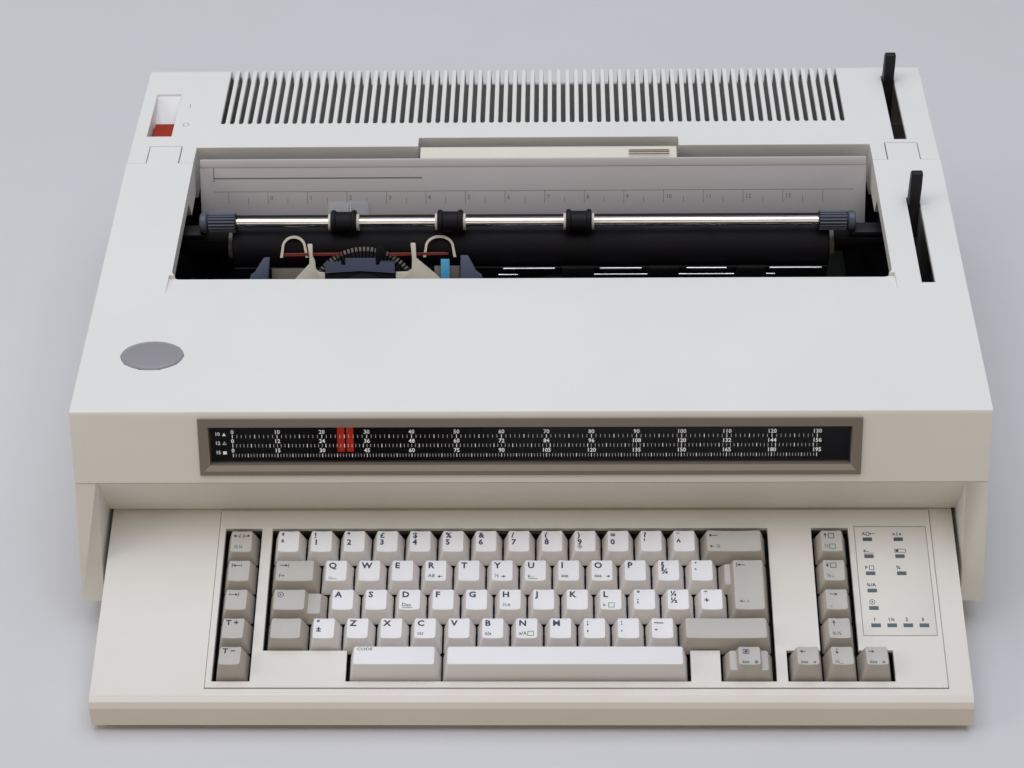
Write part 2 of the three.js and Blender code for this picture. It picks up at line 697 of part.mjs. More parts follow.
function wells() {
  const s0 = rowEdge(0) - 3;
  const s4 = rowEdge(4);
  const s5 = rowEdge(5) + 0.1;
  const column = (x) => [x - KEY_PITCH / 2 - WELL_MARGIN, x + KEY_PITCH / 2 + WELL_MARGIN];
  const [l0, l1] = column(LEFT_COLUMN_X);
  const [r0, r1] = column(RIGHT_COLUMN_X);
  return [
    keyBox(l0, l1, s0, s5, -6, 5),
    keyBox(blockX(0) - WELL_MARGIN, blockX(BLOCK_UNITS) + WELL_MARGIN, s0, s4, -6, 5),
    keyBox(blockX(2.5) - WELL_MARGIN, blockX(12.5) + WELL_MARGIN, s4 - 1, s5, -6, 5),
    keyBox(blockX(13.5) - WELL_MARGIN, blockX(BLOCK_UNITS) + WELL_MARGIN, s4 - 1, s5, -6, 5),
    keyBox(r0, r1, s0, s5, -6, 5),
    keyBox(r0 - KEY_PITCH, r1 + KEY_PITCH, s4, s5, -6, 5),
  ];
}

// face frames point into the machine, so heights above the slope are negative depths
const indicatorPocket = keyBox(
  INDICATOR.x0 - GAP,
  INDICATOR.x1 + GAP,
  INDICATOR.s0 - GAP,
  INDICATOR.s1 + GAP,
  -BEZEL.proud - 1,
  -BEZEL.proud + INDICATOR.thick,
);
addMesh(
  'keyboard_bezel',
  cut(
    keyBox(BEZEL.x0, BEZEL.x1, BEZEL.s0, BEZEL.s1, -BEZEL.proud, BEZEL.thick - BEZEL.proud),
    ...wells(),
    indicatorPocket,
  ),
  KEYBOARD_WHITE,
);

const lastLamp = INDICATOR.s1 - INDICATOR.s0 - LAMP.last;
const lampPitch = (lastLamp - LAMP.first) / 5;
const LAMPS = [
  ...[0, 1, 2, 3, 4].map((i) => [LAMP.inset, LAMP.first + i * lampPitch]),
  ...[0, 1, 2].map((i) => [LAMP.inset + LAMP.secondX, LAMP.first + i * lampPitch]),
  ...[0, 1, 2, 3].map((i) => [LAMP.inset + 0.3 + i * LAMP.pitchX, lastLamp]),
];
const lampBars = LAMPS.map(([x, s]) => keyBox(
  INDICATOR.x0 + x - LAMP.width / 2,
  INDICATOR.x0 + x + LAMP.width / 2,
  INDICATOR.s0 + s - LAMP.depth / 2,
  INDICATOR.s0 + s + LAMP.depth / 2,
  -BEZEL.proud - 0.1,
  -BEZEL.proud + 0.6,
));
addMesh(
  'indicator_panel',
  union(
    keyBox(
      INDICATOR.x0,
      INDICATOR.x1,
      INDICATOR.s0,
      INDICATOR.s1,
      -BEZEL.proud + 0.1,
      -BEZEL.proud + INDICATOR.thick - RUNNING,
    ),
    ...lampBars,
  ),
  KEYBOARD_WHITE,
);
addMesh(
  'key_plate',
  keyBox(BEZEL.x0 + 2, BEZEL.x1 - 2, BEZEL.s0 + 2, BEZEL.s1 - 1, -PLATE_H, -PLATE_H + PLATE_THICK),
  BLACK,
);

// Keys are built in the keyboard's own frame: x across, y up the slope, z out of it.
const keyboard = new THREE.Group();
keyboard.position.set(0, CASE_REAR_TOP.y, CASE_REAR_TOP.z);
keyboard.rotation.x = Math.atan2(caseSlope.z, caseSlope.y);
machine.add(keyboard);

const rowMid = rowS(2);
const dish = (s) => KEY_TOP_H + KEY_MEAN_TILT * (s - rowMid) + (s - rowMid) ** 2 / (2 * KEY_DISH_R);

// one cap, from unit u0 to u1 across and row0 to row1 down; drop lowers a stepped part
function cap(x0, x1, s0, s1, drop = 0, frontTaper = KEY_FRONT_TAPER) {
  const width = x1 - x0 - KEY_PLAY;
  const depth = s1 - s0 - KEY_PLAY;
  const geometry = new THREE.BoxGeometry(width, depth, 1);
  const position = geometry.attributes.position;
  const mid = { x: (x0 + x1) / 2, y: -(s0 + s1) / 2 };
  for (let i = 0; i < position.count; i += 1) {
    const top = position.getZ(i) > 0;
    const sideX = Math.sign(position.getX(i));
    const sideY = Math.sign(position.getY(i));
    const inset = top ? KEY_TAPER : 0;
    const x = mid.x + sideX * (width / 2 - inset);
    const lean = sideY > 0 ? KEY_BACK_TAPER : frontTaper;
    const y = mid.y + sideY * (depth / 2 - (top ? lean : 0));
    const z = top ? dish(-y) - drop : KEY_BASE_H;
    position.setXYZ(i, x, y, z);
  }
  return solidOf(geometry);
}

const unitCap = (u0, u1, row, rows = 1, drop = 0) => cap(
  blockX(u0),
  blockX(u1),
  rowEdge(row),
  rowEdge(row + rows),
  drop,
  row === KEY_ROWS - 1 ? SPACE_FRONT_TAPER : KEY_FRONT_TAPER,
);
const STEP_DROP = 5;
const RAIL = { half: 3, top: KEY_BASE_H + 0.5, bottom: PLATE_H + KEY_TRAVEL + 0.8 };

function localBox(x0, x1, y0, y1, z0, z1) {
  return box(x0, x1, y0, y1, z0, z1);
}

// a bank is a row of white caps on one carrier rail
function keyBank(u0, count, row) {
  const caps = [];
  for (let i = 0; i < count; i += 1) caps.push(unitCap(u0 + i, u0 + i + 1, row));
  const y = -rowS(row);
  const x0 = blockX(u0) + 4;
  const x1 = blockX(u0 + count) - 4;
  const rail = localBox(x0, x1, y - RAIL.half, y + RAIL.half, RAIL.bottom, RAIL.top);
  return union(rail, ...caps);
}

function stem(x, s) {
  return localBox(x - 3, x + 3, -s - 3, -s + 3, RAIL.bottom, RAIL.top);
}

addMesh('keys_number_row', keyBank(0, 13, 0), KEY_WHITE, keyboard);
addMesh('keys_upper_row', keyBank(1.5, 12, 1), KEY_WHITE, keyboard);
addMesh('keys_home_row', keyBank(1.75, 12, 2), KEY_WHITE, keyboard);
addMesh('keys_lower_row', keyBank(1.25, 11, 3), KEY_WHITE, keyboard);

const wideKeys = [
  ['key_backspace', 13, 15, 0, KEY_GREY],
  ['key_tab', 0, 1.5, 1, KEY_GREY],
  ['key_shift_left', 0, 1.25, 3, KEY_GREY],
  ['key_shift_right', 12.25, 15, 3, KEY_GREY],
  ['key_code', 2.5, 5.25, 4, KEY_WHITE],
  ['key_space', 5.25, 12.5, 4, KEY_WHITE],
];
for (const [name, u0, u1, row, material] of wideKeys) {
  const middle = blockX((u0 + u1) / 2);
  addMesh(name, union(unitCap(u0, u1, row), stem(middle, rowS(row))), material, keyboard);
}
addMesh(
  'key_lock',
  union(unitCap(0, 1.75, 2, 1, STEP_DROP), unitCap(0, 1.3, 2), stem(blockX(0.65), rowS(2))),
  KEY_GREY,
  keyboard,
);
addMesh(
  'key_return',
  union(unitCap(13.75, 15, 1, 2), unitCap(13.5, 14.6, 1, 1, STEP_DROP), stem(blockX(14.4), rowEdge(2))),
  KEY_GREY,
  keyboard,
);
addMesh(
  'key_erase',
  union(unitCap(13.5, 15, 4, 1, STEP_DROP), unitCap(13.75, 14.75, 4), stem(blockX(14.25), rowS(4))),
  KEY_GREY,
  keyboard,
);

function columnKey(name, x, row) {
  const frontTaper = row === KEY_ROWS - 1 ? SPACE_FRONT_TAPER : KEY_FRONT_TAPER;
  const solid = union(
    cap(x - KEY_PITCH / 2, x + KEY_PITCH / 2, rowEdge(row), rowEdge(row + 1), 0, frontTaper),
    stem(x, rowS(row)),
  );
  addMesh(name, solid, KEY_GREY, keyboard);
}
['tab_set', 'margin_left', 'margin_right', 'tab_add', 'tab_clear'].forEach((use, row) => {
  columnKey(`key_${use}`, LEFT_COLUMN_X, row);
});
['paper_up', 'paper_down', 'half_space', 'line_up'].forEach((use, row) => {
  columnKey(`key_${use}`, RIGHT_COLUMN_X, row);
});
['cursor_left', 'line_down', 'cursor_right'].forEach((use, i) => {
  columnKey(`key_${use}`, RIGHT_COLUMN_X + (i - 1) * KEY_PITCH, KEY_ROWS - 1);
});

// ---------------------------------------------------------------- paper support
const supportDir = { y: Math.cos(SUPPORT_SLOPE), z: Math.sin(SUPPORT_SLOPE) };
// t runs down the support from its top edge, depth runs behind it
const supportFace = face(SUPPORT_TOP, { y: -supportDir.y, z: -supportDir.z });
// face() gives X x s, which points to the front and up here, so depth behind is negative
const supportBox = (x0, x1, t0, t1, behind0, behind1) => faceBox(
  supportFace,
  x0,
  x1,
  SUPPORT_LENGTH - t1,
  SUPPORT_LENGTH - t0,
  behind0,
  behind1,
);

const supportBoard = supportBox(-SUPPORT_HALF, SUPPORT_HALF, 0, SUPPORT_LENGTH, 0, SUPPORT_THICK);
addMesh('paper_support', supportBoard, SUPPORT_GREY);

function paperRest() {
  const behind = SUPPORT_THICK + REST.gap;
  const { x0, x1 } = REST_POCKET;
  const plate = supportBox(x0 + 1.5, x1 - 1.5, REST.plate0, REST.plate1, behind, behind + REST.thick);
  const lipRear = OPENING_REAR_Y + 0.8;
  const lip = [
    [SUPPORT_TOP.y + 2, SUPPORT_TOP.z - 4.6],
    [SUPPORT_TOP.y + 2.6, SUPPORT_TOP.z - 2.6],
    [lipRear - 2, SEAM_Z - 0.9],
    [lipRear, SEAM_Z - 1.6],
    [lipRear, SEAM_Z - 4],
    [SUPPORT_TOP.y + 5, SUPPORT_TOP.z - 7],
  ];
  return union(plate, alongX(lip, x0 + 1.5, x1 - 1.5));
}
addMesh('paper_rest', paperRest(), PEARL);
addMesh(
  'card_guide',
  supportBox(GUIDE.x0, GUIDE.x1, GUIDE.t0, GUIDE.t1, -GAP - GUIDE.thick, -GAP),
  CLEAR,
);

// ---------------------------------------------------------------- platen and feed
const gearX = -FRAME_X - FRAME_THICK - PLATEN_GEAR.gap - PLATEN_GEAR.wide;
function gearTeeth() {
  const points = [];
  for (let i = 0; i < PLATEN_GEAR.teeth; i += 1) {
    const a = (i * 2 * Math.PI) / PLATEN_GEAR.teeth;
    const step = (2 * Math.PI) / PLATEN_GEAR.teeth / 4;
    const radii = [PLATEN_GEAR.r - 2.4, PLATEN_GEAR.r, PLATEN_GEAR.r, PLATEN_GEAR.r - 2.4];
    radii.forEach((r, k) => {
      const p = platenPoint(a + (k - 1.5) * step, r);
      points.push([p.y, p.z]);
    });
  }
  return alongX(points, gearX, gearX + PLATEN_GEAR.wide);
}

const shaftEnd = FRAME_X + FRAME_THICK + 0.2;
addMesh(
  'platen',
  union(
    rodX(PLATEN.y, PLATEN.z, PLATEN.r, PLATEN.x0, PLATEN.x1, 28),
    rodX(PLATEN.y, PLATEN.z, PLATEN.shaftR, gearX - 2, shaftEnd, 16),
    gearTeeth(),
  ),
  RUBBER,
);

const feedAxis = platenPoint(FEED_PRESS_ANGLE, PLATEN.r + FEED_ROLLER.r + RUNNING);
function feedRoller() {
  const armX = PLATEN.x1 + 6;
  const arms = [-armX, armX].map((x) => alongX(
    [
      [feedAxis.y - 4, feedAxis.z + 2],
      [FEED_PIVOT.y - 4, FEED_PIVOT.z - 2],
      [FEED_PIVOT.y + 4, FEED_PIVOT.z - 2],
      [feedAxis.y + 4, feedAxis.z + 2],
    ],
    x - 1.5,
    x + 1.5,
  ));
  return union(
    rodX(feedAxis.y, feedAxis.z, FEED_ROLLER.shaftR, -armX, armX, 12),
    rodX(FEED_PIVOT.y, FEED_PIVOT.z, FEED_ROLLER.shaftR, -shaftEnd, shaftEnd, 12),
    ...FEED_ROLLER.spans.map(([x0, x1]) => rodX(feedAxis.y, feedAxis.z, FEED_ROLLER.r, x0, x1, 16)),
    ...arms,
  );
}
addMesh('feed_roller', feedRoller(), RUBBER);

function paperDeflector() {
  const r0 = PLATEN.r + PAPER_GAP;
  const sheet = curvedSheet(
    PLATEN.y,
    PLATEN.z,
    r0,
    r0 + 1.2,
    Math.PI * 1.02,
    Math.PI * 1.62,
    PLATEN.x0 + 1,
    PLATEN.x1 - 1,
    8,
  );
  const reach = FEED_ROLLER.r + 2;
  const windows = FEED_ROLLER.spans.map(([x0, x1]) =>
    rodX(feedAxis.y, feedAxis.z, reach, x0 - 1.5, x1 + 1.5, 12),
  );
  const shaftGroove = rodX(feedAxis.y, feedAxis.z, FEED_ROLLER.shaftR + 1.2, PLATEN.x0, PLATEN.x1, 12);
  return cut(sheet, ...windows, shaftGroove);
}
addMesh('paper_deflector', paperDeflector(), BLACK);

// ---------------------------------------------------------------- side frames
function sideFrame(side) {
  const x0 = side > 0 ? FRAME_X : -FRAME_X - FRAME_THICK;
  const x1 = x0 + FRAME_THICK;
  const base = PAN.z0 + PAN.thick + GAP;
  const shoulder = ROD.z + 10;
  const plate = alongX(
    [
      [rodY - 20, base],
      [RELEASE_LEVER.pivotY + 12, base],
      [RELEASE_LEVER.pivotY + 12, LEVER_PIVOT_Z + 16],
      [PLATEN.y + 60, LEVER_PIVOT_Z + 20],
      [PLATEN.y + 46, PLATEN.z + 4],
      [PLATEN.y + 30, PLATEN.z + 14],
      [PLATEN.y - 14, PLATEN.z + 12.4],
      [PLATEN.y - 22, PLATEN.z - 2],
      [PLATEN.y - 22, shoulder],
      [rodY - 20, shoulder],
    ],
    x0,
    x1,
  );
  const flangeInner = PLATEN.x1 + 3.5;
  const flange = box(
    side > 0 ? flangeInner : -FRAME_X - FRAME_THICK,
    side > 0 ? FRAME_X + FRAME_THICK : -flangeInner - 2,
    PLATEN.y - 12,
    PLATEN.y - 2.5,
    PLATEN.z + 10,
    PLATEN.z + 12.4,
  );
  const foot = box(
    side > 0 ? FRAME_X - 12 : -FRAME_X - FRAME_THICK,
    side > 0 ? FRAME_X + FRAME_THICK : -FRAME_X + 12,
    rodY - 20,
    RELEASE_LEVER.pivotY + 12,
    base,
    base + 2,
  );
  const holes = [
    rodX(PLATEN.y, PLATEN.z, PLATEN.shaftR + RUNNING, x0 - 1, x1 + 1, 16),
    rodX(FEED_PIVOT.y, FEED_PIVOT.z, FEED_ROLLER.shaftR + RUNNING, x0 - 1, x1 + 1, 12),
    rodX(rodY, ROD.z, ROD.r + RUNNING, x0 - 1, x1 + 1, 16),
    rodX(BAIL_PIVOT.y, BAIL_PIVOT.z, LEVER_PIN_R + RUNNING, x0 - 1, x1 + 1, 12),
  ];
  const frame = cut(union(plate, foot), ...holes);
  if (side < 0) return union(frame, flange);
  const pins = [BAIL_LEVER, RELEASE_LEVER].map((lever) => rodX(
    lever.pivotY,
    LEVER_PIVOT_Z,
    LEVER_PIN_R,
    x1 - 1,
    leverOuterX,
    12,
  ));
  return union(frame, flange, ...pins);
}
addMesh('side_frame_left', sideFrame(-1), STEEL);
addMesh('side_frame_right', sideFrame(1), STEEL);

// ---------------------------------------------------------------- paper bail
const bailRadius = PLATEN.r + BAIL_ROLLER.r + RUNNING;
const bailAxis = platenPoint(BAIL_ANGLE, bailRadius);

const capX = FRAME_X - BAIL_CAP.inset;
function bailEnd(side) {
  const span = (a, b) => [Math.min(side * a, side * b), Math.max(side * a, side * b)];
  const end = capX + side * BAIL_CAP.shift;
  const [c0, c1] = span(end - BAIL_CAP.length, end - BAIL_CAP.cheek);
  const [w0, w1] = span(end - BAIL_CAP.cheek, end);
  const [p0, p1] = span(end - BAIL_CAP.cheek - 3, FRAME_X - 3.6);
  const [a0, a1] = span(FRAME_X - 7.2, FRAME_X - 3.6);
  const [j0, j1] = span(FRAME_X - 7.2, FRAME_X + FRAME_THICK);
  const plateZ = PLATEN.z + 14.4;
  const cheek = alongX(
    [
      [bailAxis.y - 5, bailAxis.z + 4],
      [bailAxis.y + 5, bailAxis.z + 4],
      [bailAxis.y + 5, plateZ + 1],
      [bailAxis.y - 2, plateZ + 1],
    ],
    w0,
    w1,
  );
  const arm = alongX(
    [
      [bailAxis.y - 2, plateZ],
      [BAIL_PIVOT.y - 4, plateZ],
      [BAIL_PIVOT.y - 4, BAIL_PIVOT.z - 1],
      [BAIL_PIVOT.y + 5, BAIL_PIVOT.z - 1],
      [BAIL_PIVOT.y + 5, plateZ + 1],
      [BAIL_PIVOT.y + 3, plateZ + 3],
      [bailAxis.y - 2, plateZ + 3],
    ],
    a0,
    a1,
  );
  return union(
    rodX(bailAxis.y, bailAxis.z, BAIL_CAP.r, c0, c1, 16),
    cheek,
    box(p0, p1, bailAxis.y - 2, bailAxis.y + 8, plateZ, plateZ + 3),
    arm,
    rodX(BAIL_PIVOT.y, BAIL_PIVOT.z, LEVER_PIN_R, j0, j1, 12),
  );
}
const rodReach = capX - 4;
addMesh(
  'bail_rod',
  union(
    rodX(bailAxis.y, bailAxis.z, BAIL_ROD_R, BAIL_CAP.shift - rodReach, BAIL_CAP.shift + rodReach, 16),
    bailEnd(-1),
    bailEnd(1),
  ),
  CHROME,
);

BAIL_ROLLER.xs.forEach((x, i) => {
  const half = BAIL_ROLLER.width / 2;
  const hub = BAIL_ROLLER.hubWidth / 2;
  const bore = BAIL_ROD_R + RUNNING;
  const ring = turnedX(
    [
      [x - hub, bore],
      [x - hub, bore + 2.2],
      [x - half, bore + 2.2],
      [x - half, BAIL_ROLLER.r],
      [x + half, BAIL_ROLLER.r],
      [x + half, bore + 2.2],
      [x + hub, bore + 2.2],
      [x + hub, bore],
      [x - hub, bore],
    ],
    bailAxis.y,
    bailAxis.z,
    16,
  );
  addMesh(`bail_roller_${i + 1}`, ring, RUBBER);
});

// ---------------------------------------------------------------- levers
function lever({ pivotY, slot1, tipZ }) {
  const rear = slot1 - 0.7;
  const deck = SEAM_Z - 3;
  const hub = rodX(pivotY, LEVER_PIVOT_Z, 9, leverInnerX, leverOuterX, 16);
  const arm = alongX(
    [
      [pivotY - 4, LEVER_PIVOT_Z],
      [pivotY + 5, LEVER_PIVOT_Z],
      [rear - 0.2, deck - 4],
      [rear, tipZ - 3],
      [rear - 2, tipZ],
      [rear - 6, tipZ],
      [rear - 7.4, tipZ - 8],
      [rear - 8, deck + 4],
      [rear - 7, deck - 3],
    ],
    leverInnerX,
    leverOuterX,
  );
  const bore = rodX(pivotY, LEVER_PIVOT_Z, LEVER_PIN_R + RUNNING, leverInnerX - 1, leverOuterX + 1, 12);
  return union(hub, arm).subtract(bore);
}
addMesh('bail_lever', lever(BAIL_LEVER), BLACK);
addMesh('release_lever', lever(RELEASE_LEVER), BLACK);

// ---------------------------------------------------------------- carriage
const outward = { y: Math.cos(STRIKE_ANGLE), z: Math.sin(STRIKE_ANGLE) };
const wheelUp = { y: Math.sin(STRIKE_ANGLE), z: -Math.cos(STRIKE_ANGLE) };
const wheelAt = (up, out) => ({
  y: strike.y + up * wheelUp.y + out * outward.y,
  z: strike.z + up * wheelUp.z + out * outward.z,
});
const wheelCentre = wheelAt(2 - WHEEL_R, 0);

// a drum on the wheel's axis, from out0 to out1 in front of the wheel's back face
function drum(r, out0, out1, sides) {
  const axis = new THREE.Vector3(0, outward.y, outward.z);
  const turn = new THREE.Quaternion().setFromUnitVectors(Y, axis);
  const geometry = new THREE.CylinderGeometry(r, r, out1 - out0, sides);
  geometry.translate(0, (out0 + out1) / 2, 0).applyQuaternion(turn);
  return solidOf(geometry.translate(CARRIAGE_X, wheelCentre.y, wheelCentre.z));
}

const hubHole = drum(4 + RUNNING, 5, 40, 12);
const wheelDisc = union(drum(WHEEL_R, 0, WHEEL_THICK, 32), drum(11, 0, 4, 20), drum(4, 3.5, 11, 12));
addMesh('print_wheel', wheelDisc, BLACK);

function wheelBox(x0, x1, up0, up1, out0, out1) {
  const up = new THREE.Vector3(0, wheelUp.y, wheelUp.z);
  const axis = new THREE.Vector3(0, outward.y, outward.z).negate();
  const across = X.clone();
  const matrix = new THREE.Matrix4().makeBasis(across, up, new THREE.Vector3().crossVectors(across, up));
  const sign = new THREE.Vector3().crossVectors(across, up).dot(axis) > 0 ? -1 : 1;
  matrix.setPosition(0, strike.y, strike.z);
  const geometry = new THREE.BoxGeometry(x1 - x0, up1 - up0, out1 - out0);
  geometry.translate((x0 + x1) / 2, (up0 + up1) / 2, (sign * (out0 + out1)) / 2);
  return solidOf(geometry.applyMatrix4(matrix));
}

function carriage() {
  const x = CARRIAGE_X;
  const wingZ = ROD.z + 13;
  const block = cut(
    box(x - 48, x + 48, rodY - 21, rodY + 15, ROD.z - 16, ROD.z + 8),
    rodX(rodY, ROD.z, ROD.r + RUNNING, x - 50, x + 50, 16),
  );
  const post = alongX(
    [
      [rodY - 12, ROD.z + 7],
      [rodY + 14, ROD.z + 7],
      [wheelCentre.y - 12, wheelCentre.z + 3],
      [wheelCentre.y - 24, wheelCentre.z + 10],
    ],
    x - 14,
    x + 14,
  );
  const motor = cut(drum(MOTOR_R, 6, 28, 24), hubHole);
  const wing = union(
    box(x - 61.4, x + 70.6, rodY + 5, rodY + 13, wingZ, wingZ + 4),
    box(x - 47, x - 26, rodY - 8, rodY + 13, ROD.z + 7, wingZ + 3),
    box(x + 26, x + 47, rodY - 8, rodY + 13, ROD.z + 7, wingZ + 3),
  );
  const armY = rodY + 24;
  const shelf = box(x - 61.4, x + 70.6, rodY + 12, armY + 3, wingZ, wingZ + 3);
  const shelfCut = drum(WHEEL_R + 2.5, -4, 4.6, 24);
  const leftArm = alongY(
    [
      [x - 61.4, wingZ + 1],
      [x - 52, wingZ + 1],
      [x - 54.6, 124],
      [x - 58.8, 124],
      [x - 67, 116],
      [x - 67, wingZ + 12],
    ],
    armY,
    armY + 3,
  );
  const rightArm = alongY(
    [
      [x + 62, wingZ + 1],
      [x + 70.6, wingZ + 1],
      [x + 71.6, 117],
      [x + 68.1, 124],
      [x + 63.6, 124],
    ],
    armY,
    armY + 3,
  );
  const forks = [x - 35, x + 31].map((fx) => wheelBox(fx, fx + 4, -32, 7, 4.4, 6.6));
  const forkFeet = [x - 50, x + 31].map((fx) => wheelBox(fx, fx + 19, -34, -26, 4.6, 10));
  const tray = cut(union(wing, shelf), shelfCut);
  return union(block, post, motor, tray, leftArm, rightArm, ...forks, ...forkFeet);
}

// clear of the platen: thin curved holders either side of the strike point
function cardHolder(x0, x1) {
  const r0 = PLATEN.r + 0.9;
  const sheet = curvedSheet(PLATEN.y, PLATEN.z, r0, r0 + 1, 2.3, 3.02, x0, x1, 5);
  const armY = rodY + 24;
  const foot = platenPoint(2.95, r0 + 0.8);
  const strip = alongX(
    [
      [foot.y + 0.4, foot.z + 2],
      [foot.y + 0.2, foot.z - 1],
      [armY + 1, foot.z - 5],
      [armY + 1, foot.z - 2],
    ],
    x0 + 0.5,
    x0 + 6,
  );
  const down = box(x0 + 0.5, x0 + 6, armY, armY + 3, ROD.z + 14, foot.z - 2.5);
  return union(sheet, strip, down);
}
addMesh(
  'carriage',
  union(
    carriage(),
    cardHolder(CARRIAGE_X - 53, CARRIAGE_X - 32),
    cardHolder(CARRIAGE_X + 39, CARRIAGE_X + 60),
  ),
  BLUE_GREY,
);

addMesh('carriage_rod', rodX(rodY, ROD.z, ROD.r, -shaftEnd, shaftEnd, 16), CHROME);

function ribbonCartridge() {
  const x = CARRIAGE_X;
  const y1 = rodY + 3;
  const shell = box(x - 50, x + 50, rodY - 48, y1, ROD.z + 46, ROD.z + 59);
  const horn = (side) => {
    const tip = platenPoint(STRIKE_ANGLE, PLATEN.r + 2.6);
    const inner = x + side * 24;
    const outer = x + side * 28;
    return alongX(
      [
        [y1 - 2, ROD.z + 49],
        [tip.y, tip.z - 3],
        [tip.y, tip.z + 3.4],
        [y1 - 2, ROD.z + 57],
      ],
      Math.min(inner, outer),
      Math.max(inner, outer),
    );
  };
  const tape = wheelBox(x - 28, x + 28, -4, 4, -1.7, -1.1);
  return union(shell, horn(-1), horn(1), tape);
}
addMesh('ribbon_cartridge', ribbonCartridge(), BLACK);

// red marker behind the scale window, on an arm from the carriage
function pointer() {
  const x = CARRIAGE_X;
  const depth = WINDOW.deep + 1.6;
  const bar = (x0, x1) => faceBox(frontFace, x0, x1, WINDOW.s0 + 3, WINDOW.s1 - 8, depth, depth + 1);
  const back = faceBox(frontFace, x - 5.2, x + 5.2, WINDOW.s0 + 6, WINDOW.s1 + 8, depth + 0.9, depth + 2.2);
  const foot = new THREE.Vector3(0, WINDOW.s1 + 6, depth + 1.5).applyMatrix4(frontFace);
  const z = ROD.z + 25;
  const arm = box(x - 5.2, x + 5.2, foot.y - 0.5, rodY - 12, z - 1, z + 2);
  const post = box(x - 5.2, x + 5.2, rodY - 19, rodY - 14, ROD.z + 8 + GAP, z);
  return union(bar(x - 4.6, x - 0.5), bar(x + 0.5, x + 4.6), back, arm, post);
}
addMesh('position_pointer', pointer(), RED);

// ---------------------------------------------------------------- electric parts
function circuitBoard() {
  const z = PAN.z0 + PAN.thick + 8;
  const x0 = supplyX0 + SUPPLY.width + 7;
  const x1 = FRAME_X - SUPPLY.inset;
  const y0 = SEAM_Y - 5;
  const y1 = BODY_DEPTH - 16;
  const parts = [
    [0.08, 0.25, 0.1, 0.4, 6],
    [0.32, 0.42, 0.55, 0.9, 5],
    [0.48, 0.7, 0.15, 0.35, 6],
    [0.5, 0.62, 0.5, 0.8, 14],
    [0.74, 0.94, 0.55, 0.72, 8],
    [0.8, 0.9, 0.1, 0.4, 20],
  ].map(([a0, a1, b0, b1, tall]) => box(
    x0 + a0 * (x1 - x0),
    x0 + a1 * (x1 - x0),
    y0 + b0 * (y1 - y0),
    y0 + b1 * (y1 - y0),
    z + 1,
    z + tall,
  ));
  const posts = [[0.03, 0.06], [0.97, 0.06], [0.03, 0.94], [0.97, 0.94]].map(([a, b]) => {
    const px = x0 + a * (x1 - x0);
    const py = y0 + b * (y1 - y0);
    return box(px - 3, px + 3, py - 3, py + 3, PAN.z0 + PAN.thick + RUNNING, z + 0.5);
  });
  return union(box(x0, x1, y0, y1, z, z + 1.6), ...parts, ...posts);
}
addMesh('circuit_board', circuitBoard(), BOARD_GREEN);

function powerSupply() {
  const base = PAN.z0 + PAN.thick + GAP;
  const rear = BODY_DEPTH - 9;
  const body = box(supplyX0, supplyX0 + SUPPLY.width, rear - SUPPLY.deep, rear, base, base + SUPPLY.height);
  const x1 = INLET.x0 + INLET.width;
  const inlet = box(INLET.x0, x1, BODY_DEPTH - 12, BODY_DEPTH - 0.2, INLET.z0, INLET.z0 + INLET.height);
  const socketTop = INLET.z0 + INLET.height - 2;
  const socket = box(INLET.x0 + 2, x1 - 2, BODY_DEPTH - 16, BODY_DEPTH + 1, INLET.z0 + 2, socketTop);
  const middle = { x: (INLET.x0 + x1) / 2, z: INLET.z0 + INLET.height / 2 };
  const pins = [-7, 0, 7].map((dx) => box(
    middle.x + dx - 1,
    middle.x + dx + 1,
    BODY_DEPTH - 17,
    BODY_DEPTH - 6,
    middle.z - 2,
    middle.z + 2,
  ));
  return union(cut(union(body, inlet), socket), ...pins);
}
addMesh('power_supply', powerSupply(), STEEL);

// ---------------------------------------------------------------- whole machine
const typewriter = new THREE.Group();
machine.position.y = -BODY_DEPTH / 2;
typewriter.add(machine);

export default typewriter;
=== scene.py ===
"""Finishes a desk-top electric typewriter: housings, keys, paper path and carriage.

Every piece is modelled in millimetres in the frame of the face that it sits on, and then
placed in the machine's frame. The machine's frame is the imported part's.
"""

import json
import math

import bmesh
import bpy
from bpy.props import FloatProperty, FloatVectorProperty, IntProperty, PointerProperty
from mathutils import Matrix, Vector

